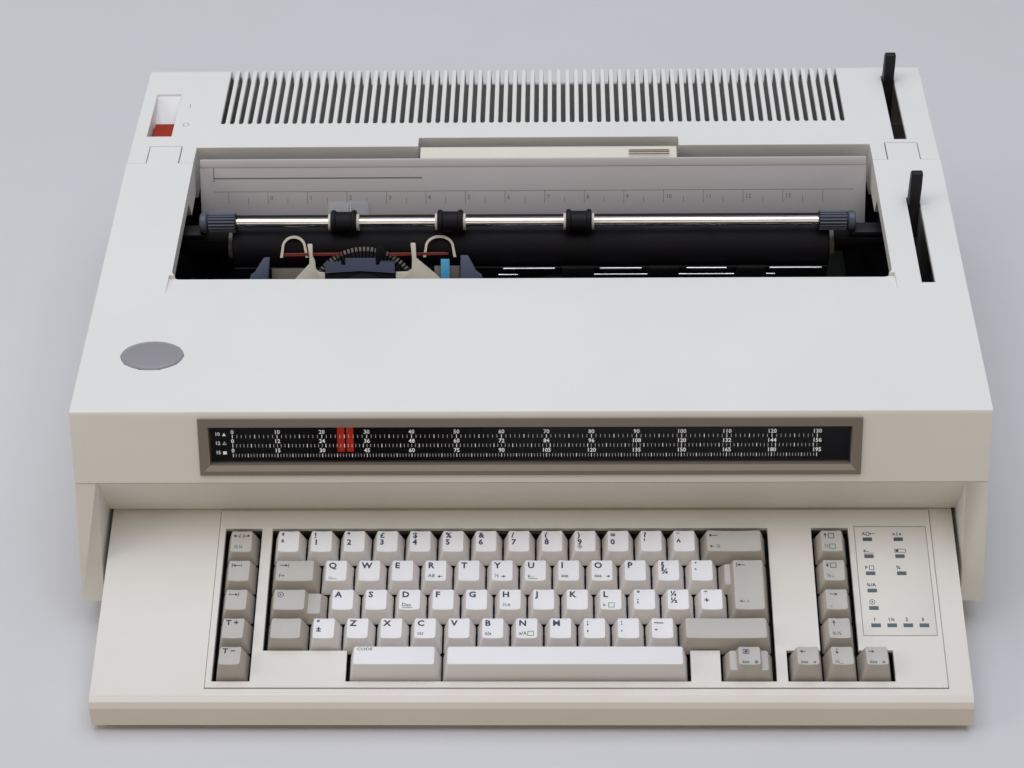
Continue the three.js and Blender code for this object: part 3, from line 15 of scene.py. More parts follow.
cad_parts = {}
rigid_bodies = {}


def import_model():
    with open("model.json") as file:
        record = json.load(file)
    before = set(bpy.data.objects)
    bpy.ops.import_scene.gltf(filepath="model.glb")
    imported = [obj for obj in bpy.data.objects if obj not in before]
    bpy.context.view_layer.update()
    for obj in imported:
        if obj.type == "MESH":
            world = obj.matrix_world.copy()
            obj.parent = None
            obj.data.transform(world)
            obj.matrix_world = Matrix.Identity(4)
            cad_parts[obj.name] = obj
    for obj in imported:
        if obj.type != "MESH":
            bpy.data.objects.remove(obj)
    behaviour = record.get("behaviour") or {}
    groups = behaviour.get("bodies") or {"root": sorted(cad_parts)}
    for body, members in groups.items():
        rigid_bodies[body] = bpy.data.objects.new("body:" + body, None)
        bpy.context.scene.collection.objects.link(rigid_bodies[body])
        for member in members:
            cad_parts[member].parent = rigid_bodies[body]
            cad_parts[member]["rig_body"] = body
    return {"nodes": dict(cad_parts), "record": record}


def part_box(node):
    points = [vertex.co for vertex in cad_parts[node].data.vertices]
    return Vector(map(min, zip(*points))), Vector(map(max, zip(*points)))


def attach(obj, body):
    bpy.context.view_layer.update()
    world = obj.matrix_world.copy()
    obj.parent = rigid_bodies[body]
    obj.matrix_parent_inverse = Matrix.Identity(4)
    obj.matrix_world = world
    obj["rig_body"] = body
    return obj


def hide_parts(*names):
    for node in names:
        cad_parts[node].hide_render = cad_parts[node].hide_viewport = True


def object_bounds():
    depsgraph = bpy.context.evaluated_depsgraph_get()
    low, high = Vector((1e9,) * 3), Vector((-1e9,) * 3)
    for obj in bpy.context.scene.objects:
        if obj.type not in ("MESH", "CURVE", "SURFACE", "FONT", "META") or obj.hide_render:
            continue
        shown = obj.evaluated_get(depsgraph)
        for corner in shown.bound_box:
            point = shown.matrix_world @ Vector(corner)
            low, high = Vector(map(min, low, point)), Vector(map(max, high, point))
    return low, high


bl_info = {
    "name": "Electric Typewriter",
    "version": (1, 0, 0),
    "blender": (4, 5, 0),
    "location": "3D View > Sidebar > Typewriter",
    "description": "Builds the pieces and finishes of a desk-top electric typewriter",
    "category": "Object",
}

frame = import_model()
CAD_BOX = [list(corner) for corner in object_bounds()]

MM = 0.001
MIDDLE_Y = -CAD_BOX[0][1] / MM


# ------------------------------------------------------------------ faces of the machine
def face_at(y, z, slope=0.0):
    """Matrix from millimetres on a face to the machine's frame; slope turns it about X."""
    place = Matrix.Translation((0, (y - MIDDLE_Y) * MM, z * MM))
    return place @ Matrix.Rotation(slope, 4, "X") @ Matrix.Scale(MM, 4)


MACHINE = face_at(0, 0)
COVER_Y, COVER_Z = 120.4, 132.2
LEAN = math.radians(60)
KEYS = face_at(122.7, 52.4, math.atan2(30.9, 118.6))
FRONT = face_at(COVER_Y, COVER_Z, math.atan2(39.8, 15.9))
DECK = face_at(COVER_Y, COVER_Z, math.atan2(9.7, 226.8))
REAR_DECK = face_at(347.2, 141.9, -math.atan2(1.7, 104.8))
SUPPORT = face_at(352, 141.1, LEAN)
WHEEL = face_at(287.54, 117.6, LEAN)

PLATEN_Y, PLATEN_Z = 307.5, 106.1
BAIL_Y, BAIL_Z = 297.83, 131.36
CARRIAGE_X = -104.6
ROD_Y, ROD_Z = 235.0, 62.0
KEY_PITCH = 19.05
FIRST_ROW = 16.0
BLOCK_LEFT = -149.3
LEFT_COLUMN = -167.2
RIGHT_COLUMN = 173.6


# ------------------------------------------------------------------ settings
class BodySizes(bpy.types.PropertyGroup):
    """Sizes of the housings' edges and of the badge's dome."""

    cover_edge: FloatProperty(
        name="Cover Edge", description="Rounding of the cover's long edges",
        default=0.0016, min=0.0002, unit="LENGTH")
    small_edge: FloatProperty(
        name="Small Edge", description="Rounding of slots, wells and small trim",
        default=0.0005, min=0.0001, unit="LENGTH")
    case_edge: FloatProperty(
        name="Keyboard Case Edge", description="Rounding of the keyboard case",
        default=0.0014, min=0.0002, unit="LENGTH")
    badge_dome: FloatProperty(
        name="Badge Dome", description="Height of the badge's raised middle",
        default=0.0004, min=0.0, unit="LENGTH")


class KeySizes(bpy.types.PropertyGroup):
    """Sizes of the keycaps and of their printing."""

    play: FloatProperty(
        name="Play", description="Gap between two caps at their foot",
        default=0.0009, min=0.0003, unit="LENGTH")
    taper: FloatProperty(
        name="Side Taper", description="How far each side leans in up to the top",
        default=0.0031, min=0.0, unit="LENGTH")
    dish: FloatProperty(
        name="Dish", description="Depth of the hollow across a cap's top",
        default=0.0006, min=0.0, unit="LENGTH")
    corner: FloatProperty(
        name="Corner", description="Rounding of a cap's upright corners",
        default=0.0013, min=0.0002, unit="LENGTH")
    rim: FloatProperty(
        name="Rim", description="Rounding of a cap's top rim",
        default=0.00045, min=0.0001, unit="LENGTH")
    letter: FloatProperty(
        name="Letter Size", description="Height of the main letters",
        default=0.0037, min=0.001, unit="LENGTH")


class PaperSizes(bpy.types.PropertyGroup):
    """Sizes of the platen, the bail and the scales."""

    platen_radius: FloatProperty(
        name="Platen Radius", description="Radius of the rubber roller",
        default=0.01905, min=0.01, unit="LENGTH")
    bail_rod_radius: FloatProperty(
        name="Bail Rod Radius", description="Radius of the polished bail rod",
        default=0.0029, min=0.001, unit="LENGTH")
    cap_ribs: IntProperty(
        name="Cap Ribs", description="Ribs round each end cap of the bail",
        default=18, min=6, max=40)
    scale_pitch: FloatProperty(
        name="Scale Pitch", description="Distance of ten columns on the position scale",
        default=0.0254, min=0.01, unit="LENGTH")


class FinishColours(bpy.types.PropertyGroup):
    """Base colours of the machine's finishes."""

    pearl: FloatVectorProperty(
        name="Pearl Housing", description="Colour of the housings", subtype="COLOR",
        size=3, min=0, max=1, default=(0.755, 0.75, 0.725))
    case: FloatVectorProperty(
        name="Keyboard Case", description="Colour of the keyboard's case and bezel",
        subtype="COLOR", size=3, min=0, max=1, default=(0.74, 0.71, 0.655))
    key_white: FloatVectorProperty(
        name="White Keys", description="Colour of the letter keys", subtype="COLOR",
        size=3, min=0, max=1, default=(0.80, 0.79, 0.795))
    key_grey: FloatVectorProperty(
        name="Grey Keys", description="Colour of the command keys", subtype="COLOR",
        size=3, min=0, max=1, default=(0.49, 0.465, 0.425))
    taupe: FloatVectorProperty(
        name="Window Frame", description="Colour of the window's frame", subtype="COLOR",
        size=3, min=0, max=1, default=(0.18, 0.15, 0.115))
    support: FloatVectorProperty(
        name="Paper Support", description="Colour of the paper support", subtype="COLOR",
        size=3, min=0, max=1, default=(0.44, 0.41, 0.405))
    switch: FloatVectorProperty(
        name="Power Switch", description="Colour of the power rocker", subtype="COLOR",
        size=3, min=0, max=1, default=(0.34, 0.016, 0.002))
    ink: FloatVectorProperty(
        name="Key Ink", description="Colour of the main letters", subtype="COLOR",
        size=3, min=0, max=1, default=(0.02, 0.018, 0.06))
    green_ink: FloatVectorProperty(
        name="Second Ink", description="Colour of the code letters", subtype="COLOR",
        size=3, min=0, max=1, default=(0.03, 0.14, 0.08))


def sizes():
    return bpy.context.scene.typewriter_body


def keys_of():
    return bpy.context.scene.typewriter_keys


def paper_of():
    return bpy.context.scene.typewriter_paper


def colours():
    return bpy.context.scene.typewriter_colours


# ------------------------------------------------------------------ shapes
def joined(*parts):
    """One bmesh of (bmesh, material index) parts; an index of None keeps the part's own."""
    whole = bmesh.new()
    for part, index in parts:
        for side in part.faces if index is not None else ():
            side.material_index = index
        scratch = bpy.data.meshes.new("scratch")
        part.to_mesh(scratch)
        part.free()
        whole.from_mesh(scratch)
        bpy.data.meshes.remove(scratch)
    return whole


def merged(parts):
    """One bmesh of parts that share the first material."""
    return joined(*[(part, 0) for part in parts])


def rounded(bm, edges, width, segments=3):
    """Rounds the edges of a bmesh."""
    bmesh.ops.bevel(
        bm, geom=edges, offset=width, offset_type="OFFSET", segments=segments,
        profile=0.5, affect="EDGES", clamp_overlap=True, material=-1)


def block(x0, x1, y0, y1, z0, z1, edge=0.0, segments=2):
    """A box with all its edges rounded."""
    bm = bmesh.new()
    middle = Matrix.Translation(((x0 + x1) / 2, (y0 + y1) / 2, (z0 + z1) / 2))
    stretch = Matrix.Diagonal((x1 - x0, y1 - y0, z1 - z0, 1))
    bmesh.ops.create_cube(bm, size=1.0, matrix=middle @ stretch)
    if edge:
        rounded(bm, bm.edges[:], edge, segments)
    return bm


def turned(profile, y, z, sides=48):
    """A profile of (x, radius) turned about an X axis; its ends meet the axis or each other."""
    bm = bmesh.new()
    corners = [bm.verts.new((x, y, z + r)) for x, r in profile]
    lines = [bm.edges.new(pair) for pair in zip(corners, corners[1:])]
    bmesh.ops.spin(
        bm, geom=corners + lines, cent=(0, y, z), axis=(1, 0, 0), angle=math.tau,
        steps=sides, use_merge=True)
    bmesh.ops.remove_doubles(bm, verts=bm.verts, dist=0.001)
    bmesh.ops.recalc_face_normals(bm, faces=bm.faces)
    return bm


def rod(x0, x1, y, z, r, edge=0.4, sides=32):
    """A round bar along X with rounded ends."""
    return turned(
        [(x0, 0), (x0, r - edge), (x0 + edge, r), (x1 - edge, r), (x1, r - edge), (x1, 0)],
        y, z, sides)


def thickened(corners, push, edge, segments):
    """A flat outline pushed out to a solid, with its edges rounded."""
    bm = bmesh.new()
    side = bm.faces.new([bm.verts.new(corner) for corner in corners])
    grown = bmesh.ops.extrude_face_region(bm, geom=[side])
    moved = [v for v in grown["geom"] if isinstance(v, bmesh.types.BMVert)]
    bmesh.ops.translate(bm, verts=moved, vec=push)
    bmesh.ops.recalc_face_normals(bm, faces=bm.faces)
    if edge:
        rounded(bm, bm.edges[:], edge, segments)
    return bm


def plate(points, x0, x1, edge=0.0, segments=2):
    """A (y, z) outline given a thickness from x0 to x1."""
    return thickened([(x0, y, z) for y, z in points], (x1 - x0, 0, 0), edge, segments)


def slab(points, z0, z1, edge=0.0, segments=2):
    """An (x, y) outline given a thickness from z0 to z1."""
    return thickened([(x, y, z0) for x, y in points], (0, 0, z1 - z0), edge, segments)


def spun(profile, x, y, sides=48):
    """A profile of (radius, z) turned about an upright axis at x, y."""
    bm = bmesh.new()
    corners = [bm.verts.new((r, 0, z)) for r, z in profile]
    lines = [bm.edges.new(pair) for pair in zip(corners, corners[1:])]
    bmesh.ops.spin(
        bm, geom=corners + lines, cent=(0, 0, 0), axis=(0, 0, 1), angle=math.tau,
        steps=sides, use_merge=True)
    bmesh.ops.remove_doubles(bm, verts=bm.verts, dist=0.0001)
    bmesh.ops.recalc_face_normals(bm, faces=bm.faces)
    bmesh.ops.translate(bm, verts=bm.verts, vec=(x, y, 0))
    return bm


def face_up(bm):
    """Turns a flat mark's faces to +Z."""
    bmesh.ops.recalc_face_normals(bm, faces=bm.faces)
    if sum(side.normal.z for side in bm.faces) < 0:
        bmesh.ops.reverse_faces(bm, faces=bm.faces)


def flat(points, z):
    """A printed mark: one flat face of (x, y) points."""
    bm = bmesh.new()
    bm.faces.new([bm.verts.new((x, y, z)) for x, y in points])
    face_up(bm)
    return bm


def bar(x, y, width, height, z):
    """A printed bar, its middle at x, y."""
    w, h = width / 2, height / 2
    return flat([(x - w, y - h), (x + w, y - h), (x + w, y + h), (x - w, y + h)], z)


def arrow(x, y, length, turn, z, head=1.5, stem=0.42):
    """A printed arrow, its middle at x, y, turned from +X."""
    half = length / 2
    outline = [
        (-half, -stem / 2), (half - head, -stem / 2), (half - head, -head * 0.62),
        (half, 0), (half - head, head * 0.62), (half - head, stem / 2), (-half, stem / 2)]
    spin = Matrix.Rotation(turn, 2)
    return flat([tuple(spin @ Vector(p) + Vector((x, y))) for p in outline], z)


def ring_mark(x, y, r, width, z, sides=16, start=0.0, sweep=math.tau):
    """A printed ring or arc."""
    bm = bmesh.new()
    line = [bm.verts.new((r - width / 2, 0, 0)), bm.verts.new((r + width / 2, 0, 0))]
    edge = bm.edges.new(line)
    full = abs(sweep - math.tau) < 1e-6
    bmesh.ops.rotate(bm, verts=line, cent=(0, 0, 0), matrix=Matrix.Rotation(start, 3, "Z"))
    bmesh.ops.spin(
        bm, geom=line + [edge], cent=(0, 0, 0), axis=(0, 0, 1), angle=sweep,
        steps=sides, use_merge=full)
    bmesh.ops.remove_doubles(bm, verts=bm.verts, dist=0.0001)
    face_up(bm)
    bmesh.ops.translate(bm, verts=bm.verts, vec=(x, y, z))
    return bm


def frame_mark(x, y, width, height, line, z):
    """A printed rectangle's outline."""
    w, h = width / 2, height / 2
    return merged([
        bar(x, y + h, width + line, line, z), bar(x, y - h, width + line, line, z),
        bar(x - w, y, line, height - line, z), bar(x + w, y, line, height - line, z)])


def lettering(text, size, x, y, z, bold=0.025, stretch=1.0, align="LEFT"):
    """Printed letters as flat faces."""
    curve = bpy.data.curves.new("lettering", "FONT")
    curve.body = text
    curve.size = size
    curve.offset = bold * size
    curve.align_x = align
    curve.align_y = "CENTER"
    curve.resolution_u = 2
    holder = bpy.data.objects.new("lettering", curve)
    bpy.context.scene.collection.objects.link(holder)
    seen = holder.evaluated_get(bpy.context.evaluated_depsgraph_get())
    mesh = bpy.data.meshes.new_from_object(seen)
    bm = bmesh.new()
    bm.from_mesh(mesh)
    bpy.data.objects.remove(holder)
    bpy.data.curves.remove(curve)
    bpy.data.meshes.remove(mesh)
    place = Matrix.Translation((x, y, z)) @ Matrix.Diagonal((stretch, 1, 1, 1))
    bmesh.ops.transform(bm, matrix=place, verts=bm.verts)
    return bm


def finished(bm, name, body, materials, place=MACHINE, stands_for=(), sharp=32.0):
    """Puts a bmesh in the machine as a piece that rides on a body."""
    bmesh.ops.transform(bm, matrix=place, verts=bm.verts)
    mesh = bpy.data.meshes.new(name)
    bm.to_mesh(mesh)
    bm.free()
    for material in materials:
        mesh.materials.append(material)
    mesh.shade_smooth()
    mesh.set_sharp_from_angle(angle=math.radians(sharp))
    piece = bpy.data.objects.new(name, mesh)
    bpy.context.scene.collection.objects.link(piece)
    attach(piece, body)
    if stands_for:
        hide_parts(*stands_for)
    return piece


def body_of(node):
    """The body that a CAD node rides on."""
    return frame["nodes"][node]["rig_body"]


def slot_of(node):
    """The material slot that the record states for a CAD node."""
    for row in frame["record"]["subparts"]:
        if row["node"] == node:
            return row["material_slot"]
    raise ValueError(f"no slot for {node}")


def shell(node, name, material, edge, segments=3, angle=25.0, shortest=3.0, front=None):
    """A copy of a CAD node with merged faces and rounded edges, which stands for the node.

    Its outer faces towards the typist take the material front, where one is given: a darker, warmer copy that
    paints the shade and the warm light on them.
    """
    bm = bmesh.new()
    bm.from_mesh(frame["nodes"][node].data)
    bmesh.ops.remove_doubles(bm, verts=bm.verts, dist=0.00002)
    bmesh.ops.dissolve_limit(
        bm, angle_limit=math.radians(0.6), verts=bm.verts, edges=bm.edges,
        use_dissolve_boundaries=False)
    limit = math.radians(angle)
    edges = [
        e for e in bm.edges
        if len(e.link_faces) == 2 and e.calc_length() > shortest * MM
        and e.calc_face_angle(0.0) > limit]
    if edge and edges:
        rounded(bm, edges, edge, segments)
    piece = finished(
        bm, name, body_of(node), [material], Matrix.Identity(4), (node,))
    # painted shade: faces towards the typist take the darker, warmer front material
    if front:
        piece.data.materials.append(front)
        for side in piece.data.polygons:
            if side.normal.y < -0.7:
                side.material_index = 1
    even = piece.modifiers.new("even_normals", "WEIGHTED_NORMAL")
    even.keep_sharp = True
    even.weight = 80
    return piece


# ------------------------------------------------------------------ finishes
def group_socket(group, name, kind, direction, default=None):
    socket = group.interface.new_socket(name=name, in_out=direction, socket_type=kind)
    if default is not None:
        socket.default_value = default
    return socket


def moulded_group():
    """Moulded plastic: slow colour drift, dust specks, scuffs and a fine grain."""
    group = bpy.data.node_groups.new("moulded_plastic", "ShaderNodeTree")
    group_socket(group, "Base", "NodeSocketColor", "INPUT", (0.7, 0.7, 0.7, 1))
    group_socket(group, "Aged", "NodeSocketColor", "INPUT", (0.6, 0.6, 0.5, 1))
    group_socket(group, "Drift", "NodeSocketFloat", "INPUT", 0.35)
    group_socket(group, "Specks", "NodeSocketFloat", "INPUT", 0.5)
    group_socket(group, "Roughness", "NodeSocketFloat", "INPUT", 0.5)
    group_socket(group, "Grain Scale", "NodeSocketFloat", "INPUT", 1800.0)
    group_socket(group, "Grain Depth", "NodeSocketFloat", "INPUT", 0.12)
    group_socket(group, "Color", "NodeSocketColor", "OUTPUT")
    group_socket(group, "Roughness", "NodeSocketFloat", "OUTPUT")
    group_socket(group, "Normal", "NodeSocketVector", "OUTPUT")
    nodes, links = group.nodes, group.links
    into = nodes.new("NodeGroupInput")
    out = nodes.new("NodeGroupOutput")
    where = nodes.new("ShaderNodeTexCoord")

    def noise(scale, detail, roughness=0.55):
        n = nodes.new("ShaderNodeTexNoise")
        n.inputs["Scale"].default_value = scale
        n.inputs["Detail"].default_value = detail
        n.inputs["Roughness"].default_value = roughness
        links.new(where.outputs["Object"], n.inputs["Vector"])
        return n

    def ramp(source, low, high):
        n = nodes.new("ShaderNodeMapRange")
        n.inputs["From Min"].default_value = low
        n.inputs["From Max"].default_value = high
        links.new(source, n.inputs["Value"])
        return n.outputs["Result"]

    def times(a, b):
        n = nodes.new("ShaderNodeMath")
        n.operation = "MULTIPLY"
        links.new(a, n.inputs[0])
        links.new(b, n.inputs[1])
        return n.outputs[0]

    def mix(factor, a, b):
        n = nodes.new("ShaderNodeMix")
        n.data_type = "RGBA"
        links.new(factor, n.inputs["Factor"])
        for source, socket in ((a, n.inputs["A"]), (b, n.inputs["B"])):
            if isinstance(source, tuple):
                socket.default_value = source
            else:
                links.new(source, socket)
        return n.outputs["Result"]

    drift = ramp(noise(9.0, 4.0).outputs["Fac"], 0.35, 0.7)
    specks = ramp(noise(950.0, 1.0, 0.3).outputs["Fac"], 0.80, 0.86)
    scuffs = ramp(noise(38.0, 6.0, 0.65).outputs["Fac"], 0.4, 0.75)
    aged = mix(times(drift, into.outputs["Drift"]), into.outputs["Base"], into.outputs["Aged"])
    dusty = mix(times(specks, into.outputs["Specks"]), aged, (0.16, 0.13, 0.1, 1))
    links.new(dusty, out.inputs["Color"])
    rough = nodes.new("ShaderNodeMath")
    rough.operation = "MULTIPLY_ADD"
    rough.inputs[1].default_value = 0.14
    links.new(scuffs, rough.inputs[0])
    links.new(into.outputs["Roughness"], rough.inputs[2])
    links.new(rough.outputs[0], out.inputs["Roughness"])
    grain = nodes.new("ShaderNodeTexNoise")
    grain.inputs["Detail"].default_value = 3.0
    links.new(where.outputs["Object"], grain.inputs["Vector"])
    links.new(into.outputs["Grain Scale"], grain.inputs["Scale"])
    bump = nodes.new("ShaderNodeBump")
    bump.inputs["Distance"].default_value = 0.0002
    links.new(into.outputs["Grain Depth"], bump.inputs["Strength"])
    links.new(grain.outputs["Fac"], bump.inputs["Height"])
    links.new(bump.outputs["Normal"], out.inputs["Normal"])
    return group


def brushed_group():
    """Metal with fine lines along X and faint stains."""
    group = bpy.data.node_groups.new("drawn_metal", "ShaderNodeTree")
    group_socket(group, "Base", "NodeSocketColor", "INPUT", (0.7, 0.7, 0.7, 1))
    group_socket(group, "Stain", "NodeSocketColor", "INPUT", (0.4, 0.38, 0.35, 1))
    group_socket(group, "Roughness", "NodeSocketFloat", "INPUT", 0.2)
    group_socket(group, "Line Depth", "NodeSocketFloat", "INPUT", 0.08)
    group_socket(group, "Color", "NodeSocketColor", "OUTPUT")
    group_socket(group, "Roughness", "NodeSocketFloat", "OUTPUT")
    group_socket(group, "Normal", "NodeSocketVector", "OUTPUT")
    nodes, links = group.nodes, group.links
    into = nodes.new("NodeGroupInput")
    out = nodes.new("NodeGroupOutput")
    where = nodes.new("ShaderNodeTexCoord")
    along = nodes.new("ShaderNodeMapping")
    along.inputs["Scale"].default_value = (12.0, 900.0, 900.0)
    links.new(where.outputs["Object"], along.inputs["Vector"])
    lines = nodes.new("ShaderNodeTexNoise")
    lines.inputs["Scale"].default_value = 1.0
    lines.inputs["Detail"].default_value = 4.0
    links.new(along.outputs["Vector"], lines.inputs["Vector"])
    stains = nodes.new("ShaderNodeTexNoise")
    stains.inputs["Scale"].default_value = 60.0
    stains.inputs["Detail"].default_value = 5.0
    links.new(where.outputs["Object"], stains.inputs["Vector"])
    spread = nodes.new("ShaderNodeMapRange")
    spread.inputs["From Min"].default_value = 0.5
    spread.inputs["From Max"].default_value = 0.8
    links.new(stains.outputs["Fac"], spread.inputs["Value"])
    mix = nodes.new("ShaderNodeMix")
    mix.data_type = "RGBA"
    links.new(spread.outputs["Result"], mix.inputs["Factor"])
    links.new(into.outputs["Base"], mix.inputs["A"])
    links.new(into.outputs["Stain"], mix.inputs["B"])
    links.new(mix.outputs["Result"], out.inputs["Color"])
    rough = nodes.new("ShaderNodeMath")
    rough.operation = "MULTIPLY_ADD"
    rough.inputs[1].default_value = 0.12
    links.new(stains.outputs["Fac"], rough.inputs[0])
    links.new(into.outputs["Roughness"], rough.inputs[2])
    links.new(rough.outputs[0], out.inputs["Roughness"])
    bump = nodes.new("ShaderNodeBump")
    bump.inputs["Distance"].default_value = 0.0001
    links.new(into.outputs["Line Depth"], bump.inputs["Strength"])
    links.new(lines.outputs["Fac"], bump.inputs["Height"])
    links.new(bump.outputs["Normal"], out.inputs["Normal"])
    return group


def group_of(name, make):
    """The shader group of that name, made at its first use."""
    return bpy.data.node_groups.get(name) or make()


def aged(colour, amount=0.82, warmth=0.9):
    """The darker, warmer tone that a plastic drifts to."""
    r, g, b = colour
    return (r * amount, g * amount * 0.99, b * amount * warmth, 1)


def surfaced(name, group, surface_values, shader_values):
    """A material with a surface group on its shader; one that is there already is used again.

    Its name ends in _finish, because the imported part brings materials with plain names.
    """
    name = f"{name}_finish"
    found = bpy.data.materials.get(name)
    if found:
        return found
    material = bpy.data.materials.new(name)
    material.use_nodes = True
    tree = material.node_tree
    shader = tree.nodes["Principled BSDF"]
    surface = tree.nodes.new("ShaderNodeGroup")
    surface.node_tree = group
    for socket, value in surface_values.items():
        surface.inputs[socket].default_value = value
    for output, socket in (("Color", "Base Color"), ("Roughness", "Roughness"), ("Normal", "Normal")):
        tree.links.new(surface.outputs[output], shader.inputs[socket])
    for socket, value in shader_values.items():
        shader.inputs[socket].default_value = value
    return material


def plastic(name, colour, roughness=0.5, drift=0.3, specks=0.4, grain=1800.0, depth=0.12,
            coat=0.0, alpha=1.0, glow=0.0, specular=0.5):
    """A moulded plastic, rubber or ink."""
    light = {"Emission Color": (*colour, 1), "Emission Strength": glow} if glow else {}
    return surfaced(
        name, group_of("moulded_plastic", moulded_group),
        {"Base": (*colour, 1), "Aged": aged(colour), "Drift": drift, "Specks": specks,
         "Roughness": roughness, "Grain Scale": grain, "Grain Depth": depth},
        {"Coat Weight": coat, "Alpha": alpha, "Specular IOR Level": specular, **light})


def metal(name, colour, roughness=0.2, lines=0.08, stain=0.7):
    """A drawn or polished metal."""
    return surfaced(
        name, group_of("drawn_metal", brushed_group),
        {"Base": (*colour, 1), "Stain": (*[c * stain for c in colour], 1),
         "Roughness": roughness, "Line Depth": lines},
        {"Metallic": 1.0})


def pearl():
    return plastic("pearl_housing", colours().pearl, 0.5, drift=0.22, specks=0.35, depth=0.16)


def case_plastic():
    return plastic("keyboard_plastic", colours().case, 0.52, drift=0.25, specks=0.4, depth=0.16)


def black_plastic():
    return plastic("black_plastic", (0.008, 0.007, 0.009), 0.45, drift=0.4, specks=0.1, specular=0.35)


def rubber():
    return plastic("platen_rubber", (0.004, 0.003, 0.005), 0.5, drift=0.5, specks=0.1,
                   grain=2600.0, depth=0.1, specular=0.22)


def support_plastic():
    return plastic("support_plastic", colours().support, 0.55, drift=0.3, specks=0.25, depth=0.14)


def ink():
    return plastic("key_ink", colours().ink, 0.5, drift=0.2, specks=0.0)


def green_ink():
    return plastic("code_ink", colours().green_ink, 0.5, drift=0.2, specks=0.0)


def chrome():
    return metal("polished_rod", (0.86, 0.85, 0.84), 0.08, 0.02)


# near black for dark inner parts; the side frames and the platen shaft take it as painted shade
def inner_black():
    return plastic("inner_black", (0.006, 0.005, 0.005), 0.7, drift=0.4, specks=0.2, specular=0.2)


def cream():
    return plastic("cream_nylon", (0.68, 0.63, 0.52), 0.38, drift=0.3, specks=0.1)


# ------------------------------------------------------------------ housings
class TYPEWRITER_OT_housings(bpy.types.Operator):
    """Top cover, rear and lower housing, base pan and feet, with rounded edges"""

    bl_idname = "typewriter.housings"
    bl_label = "Housings"

    def execute(self, context):
        edge, small = sizes().cover_edge, sizes().small_edge
        # painted shade: a darker, warmer copy of the pearl for the faces towards the typist, standing for the
        # warm light and shade on them
        shaded_front = plastic("front_shaded_pearl", (0.71, 0.672, 0.6), 0.5, drift=0.22, specks=0.35,
                           depth=0.16)
        shell("top_cover", "cover_shell", pearl(), small, segments=2, shortest=2.0, front=shaded_front)
        shell("rear_housing", "rear_shell", pearl(), small, segments=2, shortest=1.0)
        shell("lower_housing", "lower_shell", pearl(), edge * 0.6, shortest=8.0, front=shaded_front)
        pan = plastic("pan_plastic", (0.03, 0.027, 0.024), 0.6, drift=0.3, specks=0.6)
        shell("base_pan", "pan_shell", pan, small, shortest=6.0)
        for side in ("left", "right"):
            node = f"foot_{side}"
            low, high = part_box(node)
            x0, x1 = low.x / MM, high.x / MM
            y0, y1 = low.y / MM + MIDDLE_Y, high.y / MM + MIDDLE_Y
            strip = [block(x0, x1, y0, y1, 1.6, high.z / MM, 0.8)]
            margin, step = 4, 8.0
            for i in range(int((y1 - y0 - margin) / step)):
                at = y0 + margin + i * step
                strip.append(block(x0 + 1, x1 - 1, at, at + 4.5, 0.0, 2.2, 0.5, 1))
            finished(merged(strip), f"foot_strip_{side}", "machine", [rubber()],
                     stands_for=(node,))
        return {"FINISHED"}


class TYPEWRITER_OT_badge(bpy.types.Operator):
    """Blank oval badge with a raised rim"""

    bl_idname = "typewriter.badge"
    bl_label = "Badge"

    def execute(self, context):
        low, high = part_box("badge")
        wide = (high.x - low.x) / MM
        tall = 24.0
        at = DECK @ Matrix.Translation(((low.x + high.x) / 2 / MM, 167 - COVER_Y, 0.2))
        dome = sizes().badge_dome / MM
        bm = spun([(0, dome), (0.55, dome * 0.75), (0.86, 0.1), (0.9, 0.0), (0.94, 0.28),
                   (0.985, 0.28), (1, 0), (1, -0.8), (0, -0.8)], 0, 0, 72)
        bmesh.ops.scale(bm, verts=bm.verts, vec=(wide / 2, tall / 2, 1))
        badge = plastic("badge_grey", (0.27, 0.262, 0.28), 0.42, drift=0.2, specks=0.1, coat=0.15)
        finished(bm, "oval_badge", "cover", [badge], at, ("badge",))
        return {"FINISHED"}


# ------------------------------------------------------------------ print position window
SCALE_X = -168.1
SCALE_STEPS = 13
SIGN_X = -172.8
LENS_FACE = -2.42


